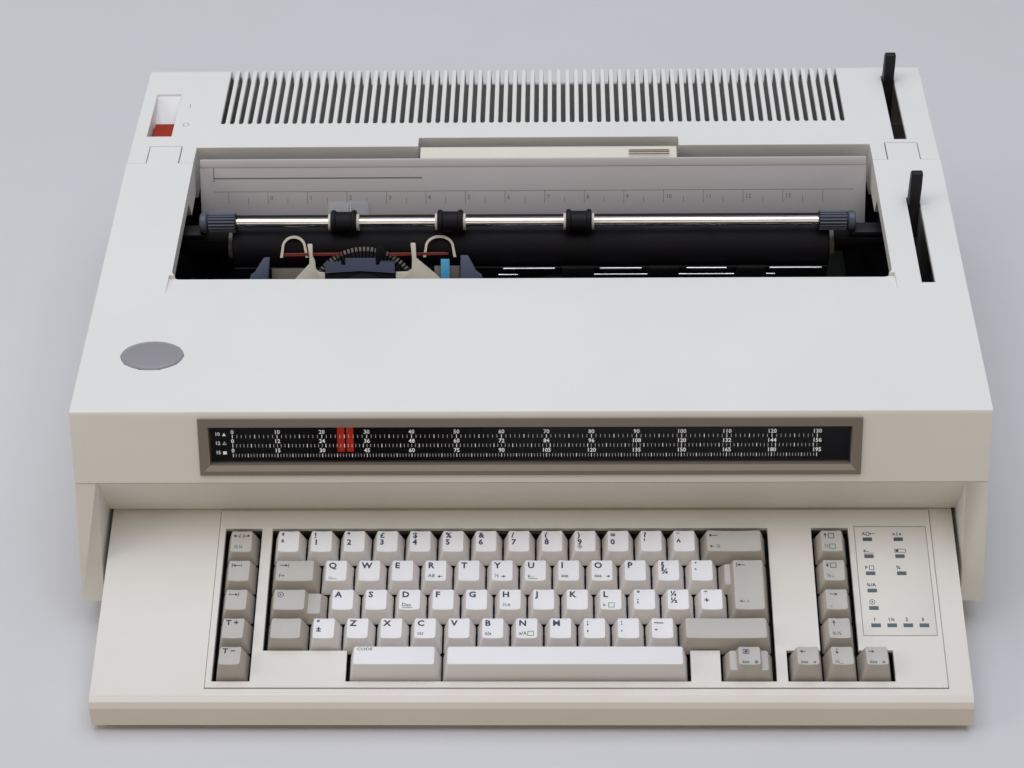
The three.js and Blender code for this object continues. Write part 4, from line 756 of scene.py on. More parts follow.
class TYPEWRITER_OT_position_window(bpy.types.Operator):
    """Frame, smoked lens, the three column scales and the red marker"""

    bl_idname = "typewriter.position_window"
    bl_label = "Print Position Window"

    def execute(self, context):
        taupe = plastic("window_taupe", colours().taupe, 0.45, drift=0.25, specks=0.2)
        shell("window_frame", "window_bezel", taupe, 0.0011, segments=3, shortest=8.0)
        smoke = plastic("smoked_lens", (0.006, 0.005, 0.009), 0.1, drift=0.1, specks=0.0,
                        depth=0.0, alpha=0.3, specular=0.2)
        shell("scale_window", "scale_lens", smoke, 0.0, segments=1)
        # painted highlight: a strip lighter than the frame along its lower bevel
        strip = flat([(-184.2, -35.3), (184.2, -35.3), (181.2, -31.7), (-181.2, -31.7)], 1.54)
        highlight_tone = plastic("window_bevel_highlight", tuple(c * 1.9 for c in colours().taupe), 0.4, specks=0.1)
        finished(strip, "window_bevel_highlight", "cover", [highlight_tone], FRONT)
        self.scales()
        self.marker()
        return {"FINISHED"}

    def marker(self):
        """Two red bars on a black arm that comes from the carriage; the bars glow a little as painted light.
        """
        x = CARRIAGE_X
        # painted light: the red bars glow, though they are no lamp, so that they stay bright behind the dark
        # lens
        red = plastic("marker_red_glow", (0.62, 0.028, 0.008), 0.4, drift=0.2, specks=0.1, glow=0.62)
        parts = [(block(x0, x0 + 4.0, -27.0, -6.5, -8.5, -7.6, 0.15, 1), 0)
                 for x0 in (x - 4.6, x + 0.6)]
        parts.append((block(x - 5.2, x + 5.2, -46.0, -9.5, -9.8, -8.5, 0.15, 1), 1))
        finished(joined(*parts), "marker_bars", "carriage", [red, inner_black()], FRONT,
                 ("position_pointer",))
        arm = merged([
            block(x - 5.2, x + 5.2, 112.4, ROD_Y - 12, ROD_Z + 24, ROD_Z + 27, 0.3, 1),
            block(x - 5.2, x + 5.2, ROD_Y - 19, ROD_Y - 14, ROD_Z + 8.4, ROD_Z + 25, 0.3, 1)])
        finished(arm, "marker_arm", "carriage", [inner_black()])

    def scales(self):
        ten = paper_of().scale_pitch / MM
        marks = []
        rows = ((10, 13.0, 15.6), (12, 18.5, 21.2), (15, 24.2, 27.1))
        for step, digit_s, tick_s in rows:
            for i in range(SCALE_STEPS + 1):
                x = SCALE_X + i * ten
                digits = lettering(
                    str(step * i), 3.3, x, -digit_s, LENS_FACE, 0.02, 1.05, "CENTER")
                marks.append((digits, 0))
            for i in range(SCALE_STEPS * step + 1):
                x = SCALE_X + i * ten / step
                half = i % 5 == 0
                tall = 2.1 if half else 1.9
                wide = 0.42 if half else 0.3
                marks.append((bar(x, -tick_s, wide, tall, LENS_FACE), 0 if half else 1))
            pitch = lettering(
                str(step), 2.9, -176.6, -digit_s - 1.2, LENS_FACE, 0.02, 1.0, "CENTER")
            y = -digit_s - 1.4
            if step == 10:
                sign = flat([(SIGN_X - 1.1, y - 0.9), (SIGN_X + 1.1, y - 0.9), (SIGN_X, y + 1.1)], LENS_FACE)
            elif step == 12:
                sign = ring_mark(SIGN_X, y, 1.1, 0.35, LENS_FACE, 3, math.pi / 2)
            else:
                sign = bar(SIGN_X, y + 0.1, 2.1, 1.9, LENS_FACE)
            marks += [(pitch, 0), (sign, 0)]
        # painted light: the printed marks glow a little, though they are no lamp, to stay bright behind the
        # dark lens
        white = plastic("scale_white_glow", (0.8, 0.8, 0.8), 0.5, drift=0.2, specks=0.0, glow=0.12)
        grey = plastic("scale_grey_glow", (0.5, 0.5, 0.5), 0.5, drift=0.3, specks=0.0, glow=0.06)
        finished(joined(*marks), "scale_print", "cover", [white, grey], FRONT)


# ------------------------------------------------------------------ keyboard
CAP_FRONT, LOWEST_CAP_FRONT = 3.5, 4.8


def block_x(unit):
    return BLOCK_LEFT + unit * KEY_PITCH


def row_edge(row):
    return FIRST_ROW + row * KEY_PITCH


def stem_of(x0, x1, y):
    """The stem or rail under a cap."""
    return block(x0, x1, y - 3, y + 3, -7.7, -4.6, 0.3, 1)


def key_top(s):
    """Height of a key's top above the case's slope, s millimetres down the slope."""
    t = s - row_edge(2.5)
    return 6.3 + 0.0585 * t + t * t / 700


class CapShape:
    """One keycap's outline, from which its top surface is known."""

    cuts = (-1, -2 / 3, -1 / 3, 0, 1 / 3, 2 / 3, 1)

    def __init__(self, x0, x1, s0, s1, drop=0.0, dished=True, front=CAP_FRONT):
        play = keys_of().play / MM
        self.x = (x0 + x1) / 2
        self.y = -(s0 + s1) / 2
        self.half_x = (x1 - x0 - play) / 2
        self.half_y = (s1 - s0 - play) / 2
        self.top_x = self.half_x - keys_of().taper / MM
        self.back = self.y + self.half_y - 1.3
        self.front = self.y - self.half_y + front
        self.drop = drop
        self.dish = keys_of().dish / MM if dished else 0.0

    def hollow(self, x):
        """Depth of the hollow at x, straight between the cuts."""
        across = max(-1.0, min(1.0, (x - self.x) / self.top_x))
        low = max(cut for cut in self.cuts if cut <= across)
        high = min(cut for cut in self.cuts if cut >= across)
        share = (across - low) / (high - low) if high > low else 0.0
        curve = (1 - share) * (1 - low * low) + share * (1 - high * high)
        return self.dish * curve

    def level(self, y):
        """Height of the flat top, which is straight from its back edge to its front edge."""
        share = (y - self.front) / (self.back - self.front)
        return key_top(-self.front) + share * (key_top(-self.back) - key_top(-self.front)) - self.drop

    def height(self, x, y):
        return self.level(y) - self.hollow(x)

    def build(self):
        bm = bmesh.new()
        bmesh.ops.create_cube(bm, size=2.0)
        upright = [e for e in bm.edges if abs(e.verts[0].co.z - e.verts[1].co.z) > 1]
        for v in bm.verts:
            high = v.co.z > 0
            half = self.top_x if high else self.half_x
            if high:
                y = self.back if v.co.y > 0 else self.front
                z = self.level(y)
            else:
                y = self.y + math.copysign(self.half_y, v.co.y)
                z = -5.0
            v.co = Vector((self.x + math.copysign(half, v.co.x), y, z))
        rounded(bm, upright, keys_of().corner / MM, 3)
        lid = max(bm.faces, key=lambda f: f.calc_center_median().z)
        rounded(bm, lid.edges[:], keys_of().rim / MM, 2)
        if self.dish:
            for share in self.cuts[1:-1]:
                bmesh.ops.bisect_plane(
                    bm, geom=bm.verts[:] + bm.edges[:] + bm.faces[:],
                    plane_co=(self.x + share * self.top_x, 0, 0), plane_no=(1, 0, 0))
            for v in bm.verts:
                if v.co.z > self.level(v.co.y) - 1.0:
                    v.co.z -= self.hollow(v.co.x)
        floor = [f for f in bm.faces if f.normal.z < -0.9 and f.calc_center_median().z < -4.9]
        bmesh.ops.delete(bm, geom=floor, context="FACES_ONLY")
        return bm

    def print_on(self, mark):
        """Lays a flat mark on the cap's top."""
        for v in mark.verts:
            v.co.z = self.height(v.co.x, v.co.y) + 0.05
        return mark


TOP_MATERIAL, SHADED_SIDE_MATERIAL, INK, GREEN, STEM = range(5)


def printed_cap(shape, legends=()):
    """Cap and printing of one key, with their material indexes."""
    cap = shape.build()
    for side in cap.faces:
        # painted shade: faces steeper than the top take the darker side copy of the cap's plastic
        side.material_index = TOP_MATERIAL if side.normal.z > 0.75 else SHADED_SIDE_MATERIAL
    parts = [(cap, None)]
    left = shape.x - shape.top_x
    for legend in legends:
        for mark, index in legend(left, shape.back, shape):
            parts.append((shape.print_on(mark), index))
    return joined(*parts)


def big(text):
    """A main letter in the upper left of a cap."""
    def draw(left, back, shape):
        size = keys_of().letter / MM / 0.72
        yield lettering(text, size, left + 1.5, back - 3.5, 0, 0.035, 1.08), INK
    return draw


def pair(upper, lower):
    """Two signs above each other."""
    def draw(left, back, shape):
        size = keys_of().letter / MM / 0.8
        yield lettering(upper, size, left + 1.6, back - 3.0, 0, 0.03, 1.05), INK
        yield lettering(lower, size, left + 1.6, back - 7.4, 0, 0.035, 1.08), INK
    return draw


def code(text, dx=1.6):
    """The small second sign near a cap's front."""
    def draw(left, back, shape):
        yield lettering(text, 3.1, left + dx, back - 10.1, 0, 0.015, 1.05), GREEN
    return draw


def line_under(width=5.5):
    def draw(left, back, shape):
        yield bar(left + 1.8 + width / 2, back - 11.9, width, 0.3, 0), GREEN
    return draw


def arrow_sign(dx, dy, length, turn, index=INK):
    def draw(left, back, shape):
        yield arrow(left + dx, back - dy, length, turn, 0), index
    return draw


def stop_bar(dx, dy, height=2.6, index=INK):
    def draw(left, back, shape):
        yield bar(left + dx, back - dy, 0.4, height, 0), index
    return draw


def page_sign(dx, dy, index=INK):
    def draw(left, back, shape):
        yield frame_mark(left + dx, back - dy, 3.2, 2.8, 0.35, 0), index
    return draw


def ring_sign(dx, dy, r=1.6, index=INK):
    def draw(left, back, shape):
        yield ring_mark(left + dx, back - dy, r, 0.36, 0), index
        yield bar(left + dx, back - dy, 0.9, 0.9, 0), index
    return draw


RIGHT, UP, LEFT, DOWN = 0.0, math.pi / 2, math.pi, -math.pi / 2
NUMBER_ROW = [
    [pair("³", "²")], [pair("!", "1")], [pair('"', "2")], [pair("£", "3")], [pair("$", "4")],
    [pair("%", "5")], [pair("&", "6")], [pair("/", "7")], [pair("(", "8")],
    [pair(")", "9"), ring_sign(2.9, 10.2, 1.1, GREEN)], [pair("=", "0")], [pair("?", "'")],
    [pair("¨", "^")]]
UPPER_ROW = [
    [big("Q"), code("..."), line_under(4.5)], [big("W")], [big("E")],
    [big("R"), code("A8"), arrow_sign(8.4, 10.5, 3.0, LEFT, GREEN)], [big("T")],
    [big("Y"), code("½"), arrow_sign(6.6, 10.5, 2.8, RIGHT, GREEN)],
    [big("U"), code("a..."), line_under()], [big("I"), code("aaa")],
    [big("O"), code("aaa"), arrow_sign(9.4, 10.5, 2.6, RIGHT, GREEN)], [big("P")],
    [pair("§", "¾")], [pair("´", "`")]]
HOME_ROW = [
    [big("A")], [big("S")], [big("D"), code("Dec"), line_under(6.0)], [big("F")], [big("G")],
    [big("H"), code("½±")], [big("J")], [big("K")],
    [big("L"), page_sign(6.2, 10.3, GREEN), code("a", 1.4)], [pair("°", ";")],
    [pair("¼", "½")], [pair("*", "+")]]
LOWER_ROW = [
    [pair("º", "±")], [big("Z")], [big("X")], [big("C"), code("ctr")], [big("V")],
    [big("B"), code("a|a")], [big("N"), code("a/A"), page_sign(8.2, 10.2, GREEN)], [big("M")],
    [pair(";", ",")], [pair(":", ".")], [pair("—", "-")]]


def key_bank(node, name, first, row, legends):
    """A row of equal caps, the first of them first units from the block's left."""
    parts = []
    for i, legend in enumerate(legends):
        shape = CapShape(block_x(first + i), block_x(first + i + 1), row_edge(row), row_edge(row + 1))
        parts.append(printed_cap(shape, legend))
    y = -(row_edge(row) + row_edge(row + 1)) / 2
    finish_key(node, name, parts, stem_of(block_x(first) + 4, block_x(first + len(legends)) - 4, y))


def finish_key(node, name, parts, stem):
    """Puts caps and their stem in the machine as one piece, grey or white as its slot says."""
    grey = slot_of(node) == "key_grey"
    tone = colours().key_grey if grey else colours().key_white
    word = "grey" if grey else "white"
    top = plastic(f"{word}_key_top", tone, 0.42, drift=0.12, specks=0.05, grain=2400.0, depth=0.05)
    # painted shade: the sides take a darker, warmer copy of the top's colour
    side = plastic(f"{word}_key_shaded_side", (tone[0] * 0.9, tone[1] * 0.86, tone[2] * 0.82), 0.5,
                   drift=0.2, specks=0.1, grain=2400.0, depth=0.06)
    whole = joined(*[(part, None) for part in parts], (stem, STEM))
    finished(whole, name, body_of(node),
             [top, side, ink(), green_ink(), inner_black()], KEYS, (node,), 38.0)


def single_key(node, caps, legends=()):
    """One key of one or two caps, each with CapShape's values; the last one is printed."""
    parts = []
    for i, values in enumerate(caps):
        last = i == len(caps) - 1
        parts.append(printed_cap(CapShape(*values), legends if last else ()))
    x0, x1, s0, s1 = caps[-1][:4]
    x, y = (x0 + x1) / 2, -(s0 + s1) / 2
    finish_key(node, node.replace("key_", "cap_"), parts, stem_of(x - 3, x + 3, y))


class TYPEWRITER_OT_key_rows(bpy.types.Operator):
    """The four rows of white keys with their letters"""

    bl_idname = "typewriter.key_rows"
    bl_label = "Key Rows"

    def execute(self, context):
        key_bank("keys_number_row", "caps_number_row", 0, 0, NUMBER_ROW)
        key_bank("keys_upper_row", "caps_upper_row", 1.5, 1, UPPER_ROW)
        key_bank("keys_home_row", "caps_home_row", 1.75, 2, HOME_ROW)
        key_bank("keys_lower_row", "caps_lower_row", 1.25, 3, LOWER_ROW)
        return {"FINISHED"}


class TYPEWRITER_OT_command_keys(bpy.types.Operator):
    """Space bar, shift, return and the other command keys"""

    bl_idname = "typewriter.command_keys"
    bl_label = "Command Keys"

    def execute(self, context):
        lowest = (LOWEST_CAP_FRONT,)
        ledge = 5.0

        def units(u0, u1, row, rows=1, drop=0.0, dished=True):
            return (block_x(u0), block_x(u1), row_edge(row), row_edge(row + rows), drop, dished)

        single_key("key_backspace", [units(13, 15, 0)],
                   [arrow_sign(3.6, 3.2, 5.2, LEFT), arrow_sign(2.8, 10.2, 3.0, LEFT, GREEN),
                    code("½", 5.2)])
        single_key("key_tab", [units(0, 1.5, 1)],
                   [arrow_sign(4.2, 3.2, 4.6, RIGHT), stop_bar(7.0, 3.2), code("F+")])
        single_key("key_shift_left", [units(0, 1.25, 3)])
        single_key("key_shift_right", [units(12.25, 15, 3)])
        single_key("key_code", [units(2.5, 5.25, 4, dished=False) + lowest], [self.code_word])
        single_key("key_space", [units(5.25, 12.5, 4, dished=False) + lowest])
        single_key("key_lock", [units(0, 1.75, 2, drop=ledge, dished=False), units(0, 1.3, 2)],
                   [ring_sign(3.6, 3.4)])
        single_key("key_return", [units(13.5, 14.6, 1, drop=ledge, dished=False), units(13.75, 15, 1, 2)],
                   [stop_bar(2.0, 3.2), arrow_sign(4.7, 3.2, 4.6, LEFT),
                    arrow_sign(4.2, 27.0, 3.4, LEFT, GREEN), stop_bar(7.4, 27.0, 2.0, GREEN)])
        single_key("key_erase",
                   [units(13.5, 15, 4, drop=ledge, dished=False), units(13.75, 14.75, 4) + lowest],
                   [page_sign(4.2, 3.2), ring_sign(4.2, 3.2, 0.8), code("aaa"),
                    ring_sign(9.6, 10.4, 0.9, GREEN)])
        return {"FINISHED"}

    @staticmethod
    def code_word(left, back, shape):
        yield lettering("CODE", 2.6, left + 1.8, back - 1.9, 0, 0.015, 1.2), GREEN


class TYPEWRITER_OT_column_keys(bpy.types.Operator):
    """The columns of keys at the left and the right"""

    bl_idname = "typewriter.column_keys"
    bl_label = "Column Keys"

    def execute(self, context):
        def cell(x, row):
            front = LOWEST_CAP_FRONT if row == 4 else CAP_FRONT
            half = KEY_PITCH / 2
            return [(x - half, x + half, row_edge(row), row_edge(row + 1), 0.0, True, front)]

        left = (
            ("tab_set", [arrow_sign(2.9, 3.2, 3.8, LEFT), arrow_sign(8.8, 3.2, 3.8, RIGHT),
                         stop_bar(4.8, 3.2), stop_bar(6.9, 3.2), code("½¼")]),
            ("margin_left", [stop_bar(1.8, 3.2), arrow_sign(4.4, 3.2, 4.4, LEFT), stop_bar(7.0, 3.2, 1.4)]),
            ("margin_right", [stop_bar(1.8, 3.2, 1.4), arrow_sign(4.4, 3.2, 4.4, RIGHT), stop_bar(7.0, 3.2)]),
            ("tab_add", [pair("T +", "")]),
            ("tab_clear", [pair("T −", "")]))
        for row, (use, legend) in enumerate(left):
            single_key(f"key_{use}", cell(LEFT_COLUMN, row), legend)
        right = (
            ("paper_up", [arrow_sign(2.4, 3.2, 3.0, UP), page_sign(5.8, 3.4), code("½"),
                          page_sign(6.2, 10.2, GREEN)]),
            ("paper_down", [arrow_sign(2.4, 3.2, 3.0, DOWN), page_sign(5.8, 3.4), code("½:.")]),
            ("half_space", [arrow_sign(4.6, 3.2, 4.6, RIGHT), code("_")]),
            ("line_up", [arrow_sign(3.2, 3.2, 3.4, UP), code("¼½")]))
        for row, (use, legend) in enumerate(right):
            single_key(f"key_{use}", cell(RIGHT_COLUMN, row), legend)
        bottom = (
            ("cursor_left", [arrow_sign(3.2, 3.2, 3.4, LEFT), code("aaa"),
                             arrow_sign(9.4, 10.4, 2.2, LEFT, GREEN)]),
            ("line_down", [arrow_sign(3.2, 3.2, 3.4, DOWN), code("½_")]),
            ("cursor_right", [arrow_sign(3.2, 3.2, 3.4, RIGHT), code("aaa"),
                              arrow_sign(9.4, 10.4, 2.2, RIGHT, GREEN)]))
        for i, (use, legend) in enumerate(bottom):
            single_key(f"key_{use}", cell(RIGHT_COLUMN + (i - 1) * KEY_PITCH, 4), legend)
        return {"FINISHED"}


LAMPS = (
    [(7.0, 8.4 + i * 11.2) for i in range(5)]
    + [(24.8, 8.4 + i * 11.2) for i in range(3)]
    + [(7.3 + i * 9.05, 64.2) for i in range(4)])


class TYPEWRITER_OT_keyboard_case(bpy.types.Operator):
    """Keyboard case, bezel, dark wells and the lamp panel"""

    bl_idname = "typewriter.keyboard_case"
    bl_label = "Keyboard Case"

    def execute(self, context):
        small = sizes().small_edge
        # painted shade: a darker, warmer copy of the case colour for the faces towards the typist
        shaded_front = plastic("front_shaded_case", (0.69, 0.615, 0.52), 0.52, drift=0.25, specks=0.4,
                           depth=0.16)
        shell("keyboard_case", "case_shell", case_plastic(), sizes().case_edge, shortest=7.0,
              front=shaded_front)
        shell("keyboard_bezel", "bezel_plate", case_plastic(), small * 0.8, segments=2, shortest=3.0)
        # the key plate takes this black; the skirts round the wells take it as painted shade
        dark = plastic("well_black_and_shade", (0.012, 0.008, 0.007), 0.7, drift=0.3, specks=0.2)
        shell("key_plate", "key_floor", dark, small, segments=1)
        self.wells(dark)
        self.lamps()
        return {"FINISHED"}

    def wells(self, dark):
        """Black skirts under the bezel round each group of keys, which paint the shade down in the wells."""
        margin = 1.5
        top, foot = row_edge(0) - 3.2, row_edge(5) + 0.4
        step = row_edge(4) + 0.2
        half = KEY_PITCH / 2 + margin
        outlines = [
            [(LEFT_COLUMN - half, top), (LEFT_COLUMN + half, top),
             (LEFT_COLUMN + half, foot), (LEFT_COLUMN - half, foot)],
            [(RIGHT_COLUMN - half, top), (RIGHT_COLUMN + half, top), (RIGHT_COLUMN + half, step - 0.4),
             (RIGHT_COLUMN + half + KEY_PITCH, step - 0.4), (RIGHT_COLUMN + half + KEY_PITCH, foot),
             (RIGHT_COLUMN - half - KEY_PITCH, foot), (RIGHT_COLUMN - half - KEY_PITCH, step - 0.4),
             (RIGHT_COLUMN - half, step - 0.4)],
            [(block_x(0) - margin, top), (block_x(15) + margin, top), (block_x(15) + margin, foot),
             (block_x(13.5) - margin, foot), (block_x(13.5) - margin, step), (block_x(12.5) + margin, step),
             (block_x(12.5) + margin, foot), (block_x(2.5) - margin, foot), (block_x(2.5) - margin, step),
             (block_x(0) - margin, step)]]
        parts = []
        for outline in outlines:
            bm = bmesh.new()
            corners = [bm.verts.new((x, -s, -2.4)) for x, s in outline]
            lines = [bm.edges.new(pair) for pair in zip(corners, corners[1:] + corners[:1])]
            grown = bmesh.ops.extrude_edge_only(bm, edges=lines)
            lower = [v for v in grown["geom"] if isinstance(v, bmesh.types.BMVert)]
            bmesh.ops.translate(bm, verts=lower, vec=(0, 0, -9.3))
            parts.append(bm)
        skirt = finished(merged(parts), "well_shade_skirts", "machine", [dark], KEYS)
        wall = skirt.modifiers.new("wall", "SOLIDIFY")
        wall.thickness = 0.0004
        wall.offset = 0.0

    def lamps(self):
        """Lamp panel with a word or sign above each lamp."""
        low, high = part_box("indicator_panel")
        x0, x1 = low.x / MM, high.x / MM
        s0, s1 = 12.2, 82.7
        top = 0.7
        z = top + 0.03
        parts = [(block(x0, x1, -s1, -s0, -0.4, top, 0.25, 2), 0)]

        def lamp_at(i):
            return x0 + LAMPS[i][0], -(s0 + LAMPS[i][1])

        def word(text, i, dy=3.6, size=2.9, dx=0.0):
            x, y = lamp_at(i)
            return lettering(text, size, x - 2.9 + dx, y + dy, z, 0.03, 1.0)

        for i in range(len(LAMPS)):
            x, y = lamp_at(i)
            lamp = block(x - 2.7, x + 2.7, y - 1.2, y + 1.2, top - 0.3, top + 0.2, 0.15, 1)
            parts.append((lamp, 1))
        marks = [word("A", 0), word("a...", 1, 3.8), word("P", 2), word("¾/A", 3), word("a | a", 5),
                 word("¾", 7, 3.6, 3.2), word("1", 8, 3.6, 3.0, 1.6), word("1½", 9, 3.6, 3.0, 0.8),
                 word("2", 10, 3.6, 3.0, 1.6), word("3", 11, 3.6, 3.0, 1.6)]
        x, y = lamp_at(0)
        marks += [frame_mark(x + 0.4, y + 3.7, 1.6, 2.2, 0.4, z),
                  arrow(x + 3.0, y + 3.7, 3.4, LEFT, z, 1.1, 0.35)]
        x, y = lamp_at(1)
        marks.append(bar(x, y + 2.0, 5.8, 0.3, z))
        x, y = lamp_at(2)
        marks.append(frame_mark(x + 0.9, y + 3.6, 2.4, 2.5, 0.35, z))
        x, y = lamp_at(4)
        marks += [ring_mark(x - 0.6, y + 3.9, 1.5, 0.35, z), bar(x - 0.6, y + 3.9, 1.0, 0.9, z)]
        x, y = lamp_at(6)
        marks += [frame_mark(x + 0.4, y + 3.6, 6.2, 2.0, 0.35, z), bar(x - 1.4, y + 3.6, 1.6, 1.4, z)]
        parts += [(mark, 2) for mark in marks]
        panel = plastic("panel_plastic", colours().case, 0.5, drift=0.2, specks=0.2, depth=0.08)
        glass = plastic("lamp_bar", (0.05, 0.085, 0.1), 0.35, drift=0.5, specks=0.0, depth=0.0)
        finished(joined(*parts), "lamp_panel", "machine",
                 [panel, glass, ink()], KEYS, ("indicator_panel",))


# ------------------------------------------------------------------ paper support
class TYPEWRITER_OT_paper_support(bpy.types.Operator):
    """Paper support with its ruler, the pull-up rest and the card guide"""

    bl_idname = "typewriter.paper_support"
    bl_label = "Paper Support"

    def execute(self, context):
        grey = support_plastic()
        # painted light: the fold along the top takes a lighter copy of the support's grey, for its flatter
        # faces catching more light
        pale = plastic("support_fold_lit", tuple(c * 1.16 for c in colours().support), 0.5, specks=0.2)
        dark = plastic("support_line", tuple(c * 0.36 for c in colours().support), 0.6, specks=0.0)
        rib_shade = plastic("rest_rib_shade", (0.2, 0.15, 0.11), 0.6, specks=0.0)
        half, length = 213.2, 46.1
        body = block(-half, half, -length, -5.2, -2.5, 0.0, 0.35, 2)
        fold = block(-half, half, -5.6, 0.0, -2.5, 0.25, 0.7, 3)
        z, line, inch = 0.04, -20.8, 25.4
        marks = [bar(-137.5, -12.2, 134.0, 0.9, z), bar(-204.4, -8.0, 0.6, 13.0, z),
                 bar(0.5, line, 410.0, 0.3, z)]
        for i in range(-1, 15):
            x = -169.8 + inch * i
            marks.append(bar(x, line - 4.0, 0.3, 8.0, z))
            if 0 <= i < 14:
                marks.append(lettering(str(i), 4.0, x + 1.3, line - 4.2, z, 0.005))
            if i < 14:
                marks.append(bar(x + inch / 2, line - 6.0, 0.26, 4.0, z))
        board = joined((body, 0), (fold, 1), *[(mark, 2) for mark in marks])
        finished(board, "paper_rest_board", "machine",
                 [grey, pale, dark], SUPPORT, ("paper_support",))
        shell("paper_rest", "pull_up_rest",
              plastic("rest_plastic", (0.72, 0.68, 0.58), 0.5, specks=0.2), 0.0007, shortest=4.0)
        # painted shade: the grip ribs take a dark brown that stands for the shade between them
        ribs = [block(62, 88, y - 0.35, y + 0.35, -0.9, -0.25, 0.2, 1) for y in (8.8, 11.0, 13.2)]
        finished(merged(ribs), "rest_ribs", "paper_rest", [rib_shade], REAR_DECK)
        self.card_guide()
        return {"FINISHED"}

    def card_guide(self):
        """Clear card guide with two white lines and a hazy half."""
        clear = plastic("clear_plastic", (0.72, 0.74, 0.78), 0.12, drift=0.1, specks=0.0, depth=0.0,
                        alpha=0.22)
        x0, x1 = -131.3, -105.2
        y0, y1 = -47.4, -27.5
        middle = (x0 + x1) / 2 + 0.5
        body = slab([(x0, y0), (x1, y0), (x1, y1), (x0, y1)], 0.4, 1.6, 0.3)
        y = (y0 + y1) / 2
        lines = [(bar(middle - 1.0, y, 0.3, y1 - y0 - 1, 1.65), 1),
                 (bar(middle + 1.0, y, 0.3, y1 - y0 - 1, 1.65), 1),
                 (bar((x0 + middle) / 2, y, middle - x0 - 3, y1 - y0 - 2, 1.63), 2)]
        white = plastic("guide_line", (0.75, 0.75, 0.75), 0.5, specks=0.0)
        haze = plastic("guide_haze", (0.8, 0.8, 0.8), 0.5, drift=0.6, specks=0.0, alpha=0.35)
        finished(joined((body, 0), *lines), "card_slide", "card_guide",
                 [clear, white, haze], SUPPORT, ("card_guide",))


# ------------------------------------------------------------------ platen and feed
class TYPEWRITER_OT_platen(bpy.types.Operator):
    """Platen, deflector and feed rollers"""

    bl_idname = "typewriter.platen"
    bl_label = "Platen"

    def execute(self, context):
        r = paper_of().platen_radius / MM
        sleeve = turned([(-188, 0), (-188, r - 1.0), (-187.2, r), (185.2, r), (186, r - 1.0), (186, 0)],
                        PLATEN_Y, PLATEN_Z, 96)
        shaft = rod(-241, 230.8, PLATEN_Y, PLATEN_Z, 5, 0.5)
        hubs = [(turned([(x, 0), (x, 9), (x + w, 9), (x + w, 0)], PLATEN_Y, PLATEN_Z, 48), 1)
                for x, w in ((-192, 4), (186, 4))]
        teeth, root, tip = 30, 15.3, 17.4
        outline = []
        for i in range(teeth):
            for k, radius in enumerate((root, tip, tip, root)):
                a = math.tau * (i + (k - 1.5) / 4.6) / teeth
                outline.append((PLATEN_Y + radius * math.cos(a), PLATEN_Z + radius * math.sin(a)))
        boss = turned([(-240, 0), (-240, 8), (-232.4, 8), (-232.4, 0)], PLATEN_Y, PLATEN_Z, 32)
        gear = [(plate(outline, -239, -233), 2), (boss, 2)]
        flange = plastic("flange_grey", (0.2, 0.185, 0.155), 0.45, drift=0.3, specks=0.1)
        # painted shade: the shaft takes the near black for the shade at the platen's ends; the gear and boss
        # take it too
        finished(joined((sleeve, 0), (shaft, 2), *hubs, *gear), "platen_roller", "platen",
                 [rubber(), flange, inner_black()], stands_for=("platen",))
        shell("feed_roller", "feed_rollers", rubber(), 0.0005, shortest=1.5, angle=50)
        shell("paper_deflector", "deflector_sheet", black_plastic(), 0.0003, segments=1, shortest=4.0)
        self.wires()
        return {"FINISHED"}

    def wires(self):
        """Bright wires and blocks along the deflector's front lip."""
        upper = ((-17.9, 14.6), (42.6, 68.8), (96.8, 121.8), (148.6, 181.0))
        lower = ((-21.0, -8.5), (38.9, 72.5), (91.8, 126.7), (146.7, 152.3))
        parts = [(rod(x0, x1, 283.4, 105.4, 0.6, 0.1, 12), 0) for x0, x1 in upper]
        parts += [(rod(x0, x1, 282.8, 101.0, 0.6, 0.1, 12), 0) for x0, x1 in lower]
        parts += [(block(x0, x1, 281.4, 284.6, 99.5, 107.0, 0.7), 1)
                  for x0, x1 in ((19, 39), (73, 92), (128, 146))]
        finished(joined(*parts), "deflector_wires", "machine", [chrome(), inner_black()])


